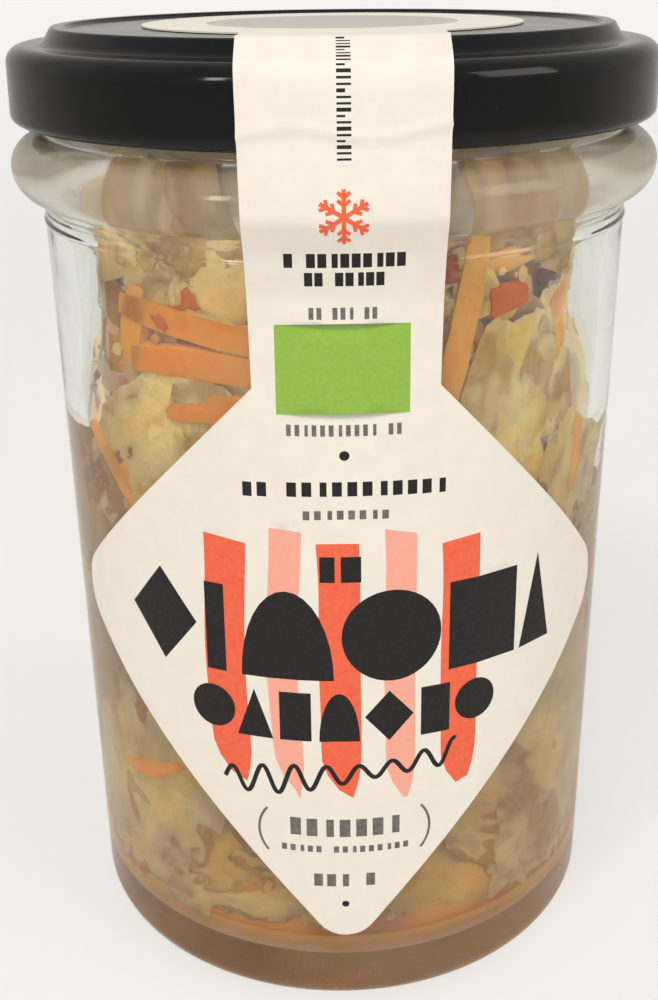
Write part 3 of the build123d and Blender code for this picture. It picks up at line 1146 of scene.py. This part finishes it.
def press(spot, along, across, out):
    """A point of a piece that lies against the wall, as (x, y, z).

    spot is where the piece lies, along and across are on the piece, and out is towards the glass. A piece
    is flattened where it meets the wall, and passes into it by its own bite and no more.
    """
    bearing, height, turn, depth, bite = spot
    side = along * cos(turn) - across * sin(turn)
    z = height + along * sin(turn) + across * cos(turn)
    z = min(max(z, FLOOR_TOP + 0.3), HEAP_TOP - 0.2)
    angle = bearing + side / MEAN_WALL_RADIUS
    wall = wall_radius(z) - stand_off(angle, z)
    radius = min(wall - depth + out, wall + bite)
    return radius * sin(angle), -radius * cos(angle), z


def fitted(spot, long, wide):
    """The spot, moved up or down so that a whole piece of a size clears the floor and the heap's top."""
    bearing, height, turn, depth, bite = spot
    half = abs(long / 2 * sin(turn)) + abs(wide / 2 * cos(turn))
    low, high = FLOOR_TOP + half + 1.2, HEAP_TOP - half - 0.6
    return bearing, min(max(height, low), max(low, high)), turn, depth, bite


def a_bite(draw):
    """How far a strewn piece presses into the wall, in millimetres: never two pieces alike."""
    return draw.uniform(0.08, PRESSED_IN - 0.04)


def up_the_jar(draw, count, total):
    """A height for one of a number of strewn pieces, which fill the jar evenly from floor to top."""
    return FLOOR_TOP + 3 + (HEAP_TOP - FLOOR_TOP - 6) * ((count + draw.random()) / total)


def strewn_place(draw, low, high, near, far):
    """Bearing, height, turn and depth of a small piece that may lie anywhere on the glass."""
    bearing = draw.uniform(0, 2 * pi)
    height = draw.uniform(low, high)
    return bearing, height, draw.uniform(0, pi), draw.uniform(near, far)


def strewn(draw, low, high, near, far):
    """The spot of a small piece that may lie anywhere on the glass."""
    return *strewn_place(draw, low, high, near, far), a_bite(draw)


def by_hand(across, height, turn, depth):
    """The spot of a listed piece on the front, across in millimetres round the glass."""
    return across / body_radius(height), height, radians(turn), depth, PRESSED_IN


def add_slab(pile, spot, rows, columns, shape, tone):
    """A closed slab against the glass.

    shape takes a place on the slab, from -1 to 1 along and across it, and gives how far along and across
    that is, how far it stands out, and half its thickness.
    """
    outer, inner, cuts = [], [], []
    for row in range(rows):
        a = 2 * row / (rows - 1) - 1
        line = [shape(a, 2 * column / (columns - 1) - 1) for column in range(columns)]
        outer.append([press(spot, u, v, out + half) for u, v, out, half in line])
        inner.append([press(spot, u, v, out - half) for u, v, out, half in line])
        cuts.append([(u, v) for u, v, _, _ in line])
    pile.slab(outer, inner, cuts, tone)


def add_rings(pile, spot, rows, around, shape, tone, veined=False):
    """A closed lump of rings against the glass. shape gives (along, across, out) for a ring and a step."""
    rings = [[shape(row, step) for step in range(around)] for row in range(rows)]
    cuts = [[(u, v) if veined else (0.0, 0.0) for u, v, _ in ring] for ring in rings]
    pile.closed([[press(spot, *place) for place in ring] for ring in rings], cuts, tone)


def add_leaf(pile, draw, spot, size, tone, crumple=1.0):
    """One cut piece of cabbage leaf: a thin wavy sheet, thicker along its rib, ruffled at one edge."""
    long, wide = size
    phase = [draw.uniform(0, 2 * pi) for _ in range(4)]
    rib = draw.uniform(-0.5, 0.5)
    rib_depth = draw.uniform(0.4, 1.5)
    ruffle = draw.uniform(0.3, 1.0) * crumple
    seed = draw.uniform(0, 90)

    def shape(a, b):
        place = Vector((a * long / 7, b * wide / 7, seed))
        ragged = 1 + 0.16 * noise.noise(place * 1.3 + Vector((5, 0, 0)))
        u = a * long / 2 * ragged
        v = b * wide / 2 * (1 - 0.28 * a * a) * (1 + 0.16 * noise.noise(place * 1.1))
        fold = 0.9 * sin(u * 0.42 + phase[0]) + 0.6 * sin(v * 0.6 + phase[1])
        fold += 1.3 * noise.noise(place * 1.5)
        frill = ruffle * sin(u * 1.25 + phase[2] + 0.8 * sin(v)) * max(0.0, b - 0.2) ** 1.5 * 1.5
        pucker = 0.42 * noise.noise(place * 5.5) + 0.25 * noise.noise(place * 11)
        edge = min(1.0, 7 * (1 - max(abs(a), abs(b))) + 0.25)
        thick = (0.42 + rib_depth * exp(-((b - rib) / 0.2) ** 2)) * edge
        return u, v, crumple * fold + frill + pucker, thick / 2

    add_slab(pile, fitted(spot, long, wide), 20, 14, shape, tone)


def add_rib(pile, draw, spot, size, tone):
    """One thick piece of cabbage rib: a bowed slab with fine ridges along it and clean cut ends."""
    long, wide = size
    bow = draw.uniform(-1.4, 1.4)
    thick = draw.uniform(1.6, 3.2)
    seed = draw.uniform(0, 90)
    taper = draw.uniform(0.0, 0.3)

    def shape(a, b):
        place = Vector((a * long / 9, b * wide / 5, seed))
        u = a * long / 2 * (1 + 0.08 * noise.noise(place * 1.7))
        v = b * wide / 2 * (1 - taper * a) * (1 + 0.12 * noise.noise(place * 1.3))
        out = bow * (a * a - 0.4) + 0.5 * noise.noise(place * 2.0) + 0.05 * sin(v * 4.0)
        edge = sqrt(max(0.0, 1 - b ** 4)) * min(1.0, 9 * (1 - abs(a)) + 0.55)
        return u, v, out, max(thick / 2 * edge, 0.12)

    add_slab(pile, fitted(spot, long, wide), 16, 11, shape, tone)


def add_stick(pile, draw, spot, size, tone):
    """One carrot stick: a squarish rod with softened edges, a slight bow and cut ends."""
    long, wide, deep = size
    rows, around = 15, 12
    bow = draw.uniform(-0.06, 0.06) * long
    twist = draw.uniform(-0.5, 0.5)
    seed = draw.uniform(0, 90)

    def shape(row, step):
        a = 2 * row / (rows - 1) - 1
        slim = (1 - 0.14 * a * a) * min(1.0, 6 * (1 - abs(a)) + 0.86)
        angle = 2 * pi * step / around + pi / around
        square = 1 / max(abs(cos(angle)), abs(sin(angle))) ** 0.72
        spin = angle + twist * a * 0.4
        rough = 1 + 0.07 * noise.noise(Vector((a * long / 4, step * 0.7, seed)))
        across = wide / 2 * square * cos(spin) * slim * rough + bow * (a * a - 0.4)
        return a * long / 2, across, deep / 2 * square * sin(spin) * slim * rough

    add_rings(pile, fitted(spot, long, wide), rows, around, shape, tone, veined=True)


def add_crumb(pile, draw, spot, radius, tone, flat=0.45):
    """One small angular fleck lying against the glass."""
    rows, around = 4, 6
    stretch = draw.uniform(0.7, 1.7)
    seed = draw.uniform(0, 90)

    def shape(row, step):
        lat = pi * (row + 0.6) / (rows + 0.2)
        angle = 2 * pi * step / around
        lump = 1 + 0.35 * noise.noise(Vector((cos(angle), sin(angle), lat + seed)))
        along = radius * stretch * sin(lat) * cos(angle) * lump
        return along, radius * sin(lat) * sin(angle) * lump, radius * flat * cos(lat)

    add_rings(pile, spot, rows, around, shape, tone)


def add_bubble(pile, draw, spot, radius):
    """One round bubble flattened against the glass."""
    rows, around = 7, 10
    stretch = draw.uniform(0.85, 1.2)

    def shape(row, step):
        lat = pi * (row + 0.5) / rows
        angle = 2 * pi * step / around
        along = radius * stretch * sin(lat) * cos(angle)
        return along, radius * sin(lat) * sin(angle), radius * 0.7 * cos(lat)

    add_rings(pile, spot, rows, around, shape, 0.0)


class KIMCHI_OT_core(bpy.types.Operator):
    """Mould the crumpled mass of cabbage that fills the middle of the jar"""
    bl_idname = "kimchi.core"
    bl_label = "Packed middle"

    def execute(self, context):
        settings = context.scene.kimchi_fill
        tones = linear("E8B25A"), linear("D69A42"), linear("9C5C22")
        flesh = wet_flesh("Packed cabbage", *tones, 0.3, 0.28, 3.0, 0.06)
        top = HEAP_TOP - 0.5
        floor = FLOOR_TOP - PRESSED_IN
        corner = [floor + CAVITY_CORNER * (1 - cos(pi / 2 * step / 10)) for step in range(1, 11)]
        path = [Vector((0, floor + FLOOR_DOME)), Vector((11, floor + FLOOR_DOME * 0.75))]
        path += [Vector((wall_radius(height + PRESSED_IN) + PRESSED_IN, height)) for height in corner]
        path += [Vector((CORE_RADIUS, height)) for height in (CORE_FREE, FLARE_LOW, top - 1)]
        path += [Vector((CORE_RADIUS - 2, top)), Vector((0, top - 0.8))]

        def crumpled(radius, height, bearing):
            spot = Vector((sin(bearing) * 2.1, cos(bearing) * 2.1, height / 9 + settings.seed))
            ridge = 1 - 2 * abs(noise.noise(spot * 1.4))
            lump = 0.8 * ridge + 1.1 * noise.noise(spot * 0.7) + 0.5 * noise.noise(spot * 4.0)
            above_corner = smooth_step(height, FLOOR_TOP + 3, CORE_FREE)
            share = min(radius / 10, 1.0) * above_corner
            lift = 1.2 * noise.noise(spot * 1.1) - 1.0 if height > top - 1 else 0.0
            off = stand_off(bearing, height) + 0.8 * above_corner
            return min(radius + lump * share, wall_radius(height) + PRESSED_IN - off), height + lift

        core = lathe("packed_middle", finer(path, 0.9), 160, [flesh], shape=crumpled)
        cut = core.data.attributes.new("cut", "FLOAT_VECTOR", "POINT")
        values = []
        for vertex in core.data.vertices:
            bearing = atan2(vertex.co.x, -vertex.co.y)
            low_down = 1 - smooth_step(vertex.co.z / MM, FLOOR_TOP + 1, FLOOR_TOP + 7)
            tone = 0.2 + 0.3 * noise.noise(vertex.co / (11 * MM)) + 0.45 * low_down
            values += [bearing * 25, vertex.co.z / MM, tone]
        cut.data.foreach_set("vector", values)
        point_inward_out(core)
        dress(core, "kimchi", "kimchi")
        return {"FINISHED"}


# bearing and turn in degrees, and how crumpled a leaf is, last
HAND_LAID_LEAVES = (
    (-82, 50.0, 20, 0.2, (30, 24), 0.5, 0.3), (-66, 41.0, -30, 0.2, (26, 18), 0.35, 0.4),
    (-100, 57.0, 70, 0.3, (24, 18), 0.7, 0.4), (-39, 64.5, 36, -0.1, (23, 13), 0.05, 0.45),
    (-28, 67.0, 75, 0.2, (12, 6.5), 0.05, 1.2), (-20, 77.0, -25, 0.1, (7.5, 3.2), 0.0, 1.0),
    (-36, 81.5, 10, 0.3, (8, 7), 0.25, 0.8), (33, 65.5, 82, -0.2, (25, 11.5), 0.0, 0.3),
    (46, 71.0, 60, 0.3, (17, 10), 0.1, 0.9), (55, 59.0, 66, -0.1, (22, 13), 0.1, 0.35),
    (-46, 23.0, 72, -0.2, (36, 23), 0.34, 0.1), (-27, 10.5, 14, 0.0, (24, 9), 0.5, 0.3),
    (36, 12.0, -48, -0.1, (30, 13), 0.42, 0.2), (57, 24.0, 74, -0.2, (36, 19), 0.32, 0.1),
    (-50, 87.0, 24, 0.4, (21, 11), 0.45, 1.1), (-27, 88.0, -36, 0.5, (17, 9), 0.6, 1.2),
    (28, 87.5, 38, 0.4, (18, 10), 0.55, 1.2), (52, 88.0, -24, 0.5, (22, 11), 0.4, 1.1),
)
SHRED_CLUSTERS = ((-20, 81), (-38, 83), (20, 83), (25, 80), (50, 72), (-30, 78))


def strew_leaves(leaves, draw, total):
    """Leaves all round: larger, smoother and paler in the brine, and small near the top, where a darker tone
    is painted shade from the lid.
    """
    for count in range(total):
        height = up_the_jar(draw, count, total)
        bearing = count * GOLDEN_TURN + draw.uniform(-0.3, 0.3)
        turn = draw.uniform(-pi / 2, pi / 2)
        sunk = 1 - smooth_step(height, BRINE_LEVEL - 4, BRINE_LEVEL + 12)
        near_top = smooth_step(height, *NEAR_TOP)
        behind_bead = smooth_step(height, *BEHIND_BEAD)
        scale = draw.uniform(1.0, 1.25 + 0.35 * sunk)
        scale *= 1 - 0.3 * near_top
        size = (draw.uniform(14, 26) * scale, draw.uniform(8, 16) * scale)
        # Painted shade: near the top a leaf takes a darker tone for the lid's shadow. There is less of it
        # behind the bead, where the tone is also paler.
        painted_lid_shade = near_top * (1 - 0.8 * behind_bead) * draw.uniform(0.35, 0.9)
        tone = max(draw.random() ** 1.6 * (1 - 0.5 * sunk) * (1 - 0.6 * behind_bead), painted_lid_shade)
        spot = (bearing, height, turn, draw.uniform(0.0, 2.6), a_bite(draw))
        add_leaf(leaves, draw, spot, size, tone, 1 - 0.4 * sunk)


def lay_leaves(leaves, draw):
    """Listed leaves laid on the front, then broad flat ones at both sides, just over the brine."""
    for bearing, height, turn, depth, size, tone, crumple in HAND_LAID_LEAVES:
        spot = (radians(bearing), height, radians(turn), depth, PRESSED_IN - 0.02)
        add_leaf(leaves, draw, spot, size, tone, crumple)
    for middle, high in ((-90, 60), (90, 47)):
        for _ in range(SIDE_LEAVES):
            bearing, height = radians(middle + draw.uniform(-30, 30)), draw.uniform(37, high)
            spot = (bearing, height, draw.uniform(-pi / 2, pi / 2), -0.8, a_bite(draw))
            size = (draw.uniform(20, 27), draw.uniform(14, 19))
            add_leaf(leaves, draw, spot, size, draw.random() * 0.7, 0.2)


def strew_shreds(shreds, draw, total):
    """Shreds all over the glass, then clusters of them high on the front."""
    for _ in range(total):
        spot = strewn(draw, 8, 93, -0.2, 0.6)
        add_crumb(shreds, draw, spot, 0.25 + 0.9 * draw.random() ** 3, draw.random(), 0.5)
    for bearing, height in SHRED_CLUSTERS:
        for _ in range(SHREDS_IN_CLUSTER):
            place = (radians(bearing) + draw.gauss(0, 0.09), height + draw.gauss(0, 1.8))
            spot = (*place, draw.uniform(0, pi), draw.uniform(-0.2, 0.3), a_bite(draw))
            add_crumb(shreds, draw, spot, 0.25 + 1.1 * draw.random() ** 2, draw.random() * 0.6, 0.4)


def strew_ribs(ribs, draw, total):
    """Thick ribs all round."""
    for count in range(total):
        height = up_the_jar(draw, count, total)
        bearing = count * GOLDEN_TURN * 1.7 + draw.uniform(-0.3, 0.3)
        turn = draw.uniform(-pi / 2, pi / 2)
        size = (draw.uniform(9, 24), draw.uniform(5, 11))
        spot = (bearing, height, turn, draw.uniform(0.8, 3.0), a_bite(draw))
        add_rib(ribs, draw, spot, size, draw.random() ** 2)


class KIMCHI_OT_cabbage(bpy.types.Operator):
    """Lay cut cabbage leaves and thick ribs against the glass"""
    bl_idname = "kimchi.cabbage"
    bl_label = "Cabbage"

    def execute(self, context):
        settings = context.scene.kimchi_fill
        draw = random.Random(settings.seed)
        leaves, ribs, shreds = Pile(), Pile(), Pile()
        strew_leaves(leaves, draw, settings.leaves)
        lay_leaves(leaves, draw)
        strew_shreds(shreds, draw, settings.shreds)
        strew_ribs(ribs, draw, settings.ribs)
        tones = settings.cabbage, linear("E8B058"), linear("A85E1E")
        cabbage = wet_flesh("Fermented cabbage leaf", *tones, 0.5, 0.22, 1.3, 0.03)
        tones = settings.stalk, linear("EEC070"), linear("C4802E")
        stalk = wet_flesh("Fermented cabbage rib", *tones, 0.5, 0.18, 1.0, 0.03)
        dress(leaves.build("cabbage_leaves", cabbage), "kimchi")
        dress(shreds.build("cabbage_shreds", cabbage), "kimchi")
        dress(ribs.build("cabbage_ribs", stalk), "kimchi")
        return {"FINISHED"}


class KIMCHI_OT_carrot(bpy.types.Operator):
    """Lay carrot sticks, singly and in the stack by the label's shoulder"""
    bl_idname = "kimchi.carrot"
    bl_label = "Carrot sticks"

    def execute(self, context):
        settings = context.scene.kimchi_fill
        draw = random.Random(settings.seed + 1)
        sticks = Pile()
        chosen = (
            (-13.5, 77.3, -9, 0.7, (20, 3.1, 2.8), 0.4),
            (-12.5, 73.5, -4, 0.7, (19, 3.3, 2.8), 0.5),
            (-11.0, 69.4, 3, 0.9, (14, 3.2, 2.8), 0.45),
            (12.7, 77.0, 79, 0.4, (19, 2.9, 2.4), 0.0),
            (-28.0, 61.0, -48, 0.6, (16, 2.2, 2.0), 0.2),
            (-24.5, 24.8, 24, 0.7, (13, 2.4, 2.2), 0.35),
            (-22.5, 77.0, 75, 0.9, (9, 3.0, 2.4), 0.1),
            (30.5, 61.5, 78, 0.9, (11, 3.2, 2.6), 0.1),
            (26.5, 74.0, 62, 1.2, (12, 3.4, 2.6), 0.0),
        )
        for *place, size, tone in chosen:
            add_stick(sticks, draw, by_hand(*place), size, tone)
        for count in range(settings.sticks):
            bearing = draw.uniform(0.9, 2 * pi - 0.9) if count % 4 else draw.uniform(-0.9, 0.9)
            height = draw.uniform(9, 90)
            size = (draw.uniform(10, 32), draw.uniform(1.8, 3.6), draw.uniform(1.8, 3.0))
            spot = (bearing, height, draw.gauss(0, 0.7), draw.uniform(0.8, 4.0), a_bite(draw))
            add_stick(sticks, draw, spot, size, draw.random() ** 1.5)
        tones = settings.carrot, linear("F0962E"), linear("DB640C")
        carrot = wet_flesh("Fermented carrot", *tones, 0.5, 0.2, 1.2, 0.0)
        dress(sticks.build("carrot_sticks", carrot), "kimchi")
        return {"FINISHED"}


class KIMCHI_OT_chilli(bpy.types.Operator):
    """Scatter red pepper pieces and chilli flakes"""
    bl_idname = "kimchi.chilli"
    bl_label = "Pepper and chilli"

    def execute(self, context):
        settings = context.scene.kimchi_fill
        draw = random.Random(settings.seed + 2)
        peppers, flakes = Pile(), Pile()
        chosen = (
            (18.3, 79.8, 8, 0.5, (4.6, 3.0), 0.2),
            (11.3, 83.2, 0, 0.9, (5.0, 3.0), 0.9),
            (-16.8, 79.0, 35, 0.5, (5.5, 3.0), 0.1),
            (-26.5, 66.0, 80, 1.6, (9.0, 4.0), 0.5),
        )
        for *place, size, tone in chosen:
            add_rib(peppers, draw, by_hand(*place), size, tone)
        for _ in range(settings.peppers):
            size = (draw.uniform(3, 8), draw.uniform(1.6, 3.2))
            add_rib(peppers, draw, strewn(draw, 9, 90, 0.8, 3.2), size, draw.random())
        for _ in range(settings.flakes):
            spot = (*strewn_place(draw, 8, 92, 0.0, 0.8), FLAKE_BITE)
            add_crumb(flakes, draw, spot, draw.uniform(0.14, 0.42), draw.random())
        tones = settings.pepper, linear("CB5E28"), linear("A3481C")
        pepper = wet_flesh("Fermented red pepper", *tones, 0.4, 0.18, 2.5, 0.0)
        tones = linear("8A3A1C"), linear("70301A"), linear("3C1F14")
        flake = wet_flesh("Chilli flake", *tones, 0.05, 0.3, 2.0, 0.0)
        dress(peppers.build("pepper_pieces", pepper), "kimchi")
        dress(flakes.build("chilli_flakes", flake), "kimchi")
        return {"FINISHED"}


class KIMCHI_OT_brine(bpy.types.Operator):
    """Pour the brine, up to its level, with a meniscus where it wets the glass, and add gas bubbles"""
    bl_idname = "kimchi.brine"
    bl_label = "Brine and bubbles"

    def execute(self, context):
        settings = context.scene.kimchi_fill
        low = FLOOR_TOP - BRINE_IN
        side = body_radius(low) - BODY_WALL + BRINE_IN
        high_side = body_radius(BRINE_LEVEL) - BODY_WALL + BRINE_IN
        path = rounded([
            (0, low + FLOOR_DOME, 0),
            (side / 2, low + FLOOR_DOME * 0.75, 0),
            (side, low, CAVITY_CORNER),
            (high_side, BRINE_LEVEL, 0),
            (high_side - 0.5, BRINE_LEVEL - 0.5, 0),
            (high_side - 1.6, BRINE_LEVEL - 0.9, 0),
            (0, BRINE_LEVEL - 1.0, 0),
        ], 10)
        liquid = lathe("brine_liquid", finer(path, 1.0), 160, [cloudy_brine(settings.brine)])
        point_inward_out(liquid)
        dress(liquid, "brine", "brine")
        draw = random.Random(settings.seed + 3)
        bubbles = Pile()
        for _ in range(settings.bubbles):
            radius = 0.16 + 0.5 * draw.random() ** 4
            spot = (draw.uniform(0, 2 * pi), draw.uniform(9, 86), 0.0, 0.1, PRESSED_IN)
            add_bubble(bubbles, draw, spot, radius)
        dress(bubbles.build("gas_bubbles", gas_bubble()), "brine")
        return {"FINISHED"}


# --- stage ------------------------------------------------------------------------------------
ROOM_WHITE = linear("FFFDFA")
ROOM_BRIGHTNESS = 0.95


def looked_at(tree):
    """1 where the camera looks, straight or through a clear piece, and 0 elsewhere."""
    path = add(tree, "LightPath").outputs
    return combine(tree, "MAXIMUM", path["Is Camera Ray"], path["Is Transmission Ray"])


def painted_floor(rgb):
    """Matt painted board: pale, even, with a faint roller stipple of about 3 mm.

    Where the camera or a clear piece looks at it, it pales with distance until it meets the white room.
    """
    material, tree, coords = new_material("Matt painted board")
    cloud = spotted(tree, coords, 120, 0.3, 0.7)
    board = add(tree, "BsdfPrincipled", {
        "Base Color": blend(tree, cloud, rgb, [channel * 0.985 for channel in rgb]), "Roughness": 0.7,
        "Normal": bumped(tree, grain(tree, coords, 3, 2.0), 0.05, 0.1), "Specular IOR Level": 0.2,
    })
    away = add(tree, "VectorMath", {0: coords}, operation="LENGTH").outputs["Value"]
    share = combine(tree, "MULTIPLY", looked_at(tree), ramp(tree, away, 0.6, 1.0, 0.15, 1.3))
    white = add(tree, "Emission", {"Color": solid(ROOM_WHITE), "Strength": ROOM_BRIGHTNESS})
    return finished(material, shared(tree, share, board, white))


class KIMCHI_OT_stage(bpy.types.Operator):
    """Set the floor and backdrop, the lamps, the room light and the camera"""
    bl_idname = "kimchi.stage"
    bl_label = "Studio"

    def execute(self, context):
        settings = context.scene.kimchi_stage
        self.backdrop(settings)
        self.room(context.scene, settings)
        self.lamps(settings)
        self.camera(context.scene, settings)
        context.scene.view_settings.view_transform = "Standard"
        return {"FINISHED"}

    def backdrop(self, settings):
        """One sheet: floor, sweep and wall."""
        sweep = rounded([(-2500, 0, 0), (1500, 0, 700), (1500, 2600, 0)], 16)
        points = [(x, spot.x, spot.y) for spot in sweep for x in (-3000, 3000)]
        faces = [(2 * k, 2 * k + 1, 2 * k + 3, 2 * k + 2) for k in range(len(sweep) - 1)]
        new_piece("backdrop", points, faces, [painted_floor(settings.floor)])

    def room(self, scene, settings):
        """Soft light from all round, white where the camera or a clear piece looks straight at it."""
        world = bpy.data.worlds.new("Studio room")
        scene.world = world
        world.use_nodes = True
        tree = world.node_tree
        tree.nodes.clear()
        light = add(tree, "Background", {
            "Color": solid(ROOM_WHITE),
            "Strength": ramp(tree, looked_at(tree), settings.room, ROOM_BRIGHTNESS),
        })
        add(tree, "OutputWorld", {"Surface": light.outputs[0]})

    def lamps(self, settings):
        """A broad lamp above and a little in front, and a weaker one at the right."""
        places = (
            ("lamp_above", (-120, -300, 560), 190, 110, settings.key),
            ("lamp_side", (520, -260, 300), 300, 300, settings.fill),
            ("lamp_window", (-330, -420, 260), 60, 130, settings.fill * 0.4),
        )
        for name, spot, wide, deep, power in places:
            lamp = bpy.data.lights.new(name, "AREA")
            lamp.shape = "RECTANGLE"
            lamp.size, lamp.size_y = wide * MM, deep * MM
            lamp.energy = power
            lamp.color = linear("FFFBF6")
            made = bpy.data.objects.new(name, lamp)
            made.location = Vector(spot) * MM
            aim = Vector((0, 0, 60 * MM)) - made.location
            made.rotation_euler = aim.to_track_quat("-Z", "Y").to_euler()
            bpy.context.scene.collection.objects.link(made)

    def camera(self, scene, settings):
        """Close in front and a little above the lid, looking down on the label."""
        distance, height, pitch, roll = 149.4, 111.48, 0.3263, 0.0115
        lens = bpy.data.cameras.new("camera")
        lens.lens = settings.lens
        lens.sensor_width = 36.0
        lens.shift_x, lens.shift_y = -0.0078, -0.1
        lens.clip_start, lens.clip_end = 0.01, 20.0
        made = bpy.data.objects.new("camera", lens)
        upright = Matrix.Rotation(pi / 2 - pitch, 4, "X") @ Matrix.Rotation(-roll, 4, "Z")
        made.matrix_world = Matrix.Translation(Vector((0, -distance, height)) * MM) @ upright
        scene.collection.objects.link(made)
        scene.camera = made


# --- panel and running ------------------------------------------------------------------------
OPERATORS = (
    KIMCHI_OT_glass, KIMCHI_OT_lid, KIMCHI_OT_label, KIMCHI_OT_core, KIMCHI_OT_cabbage, KIMCHI_OT_carrot,
    KIMCHI_OT_chilli, KIMCHI_OT_brine, KIMCHI_OT_stage,
)
SETTINGS = (
    ("kimchi_glass", GlassSettings), ("kimchi_label", LabelSettings),
    ("kimchi_fill", FillSettings), ("kimchi_stage", StageSettings),
)


class KIMCHI_PT_panel(bpy.types.Panel):
    """The jar's settings and the steps that build it"""
    bl_idname = "KIMCHI_PT_panel"
    bl_label = "Kimchi jar"
    bl_space_type = "VIEW_3D"
    bl_region_type = "UI"
    bl_category = "Kimchi jar"

    def draw(self, context):
        for name, group in SETTINGS:
            box = self.layout.box()
            box.label(text=group.__doc__)
            for setting in group.__annotations__:
                box.prop(getattr(context.scene, name), setting)
        for operator in OPERATORS:
            self.layout.operator(operator.bl_idname)


def register():
    """Add the settings, the operators and the panel."""
    for name, group in SETTINGS:
        bpy.utils.register_class(group)
        setattr(bpy.types.Scene, name, bpy.props.PointerProperty(type=group))
    for operator in OPERATORS:
        bpy.utils.register_class(operator)
    bpy.utils.register_class(KIMCHI_PT_panel)


def unregister():
    """Take them away again."""
    bpy.utils.unregister_class(KIMCHI_PT_panel)
    for operator in reversed(OPERATORS):
        bpy.utils.unregister_class(operator)
    for name, group in reversed(SETTINGS):
        delattr(bpy.types.Scene, name)
        bpy.utils.unregister_class(group)


def main():
    """Build the jar and its studio."""
    register()
    bpy.ops.kimchi.glass()
    bpy.ops.kimchi.lid()
    bpy.ops.kimchi.label()
    bpy.ops.kimchi.core()
    bpy.ops.kimchi.cabbage()
    bpy.ops.kimchi.carrot()
    bpy.ops.kimchi.chilli()
    bpy.ops.kimchi.brine()
    bpy.ops.kimchi.stage()


if __name__ == "__main__":
    main()
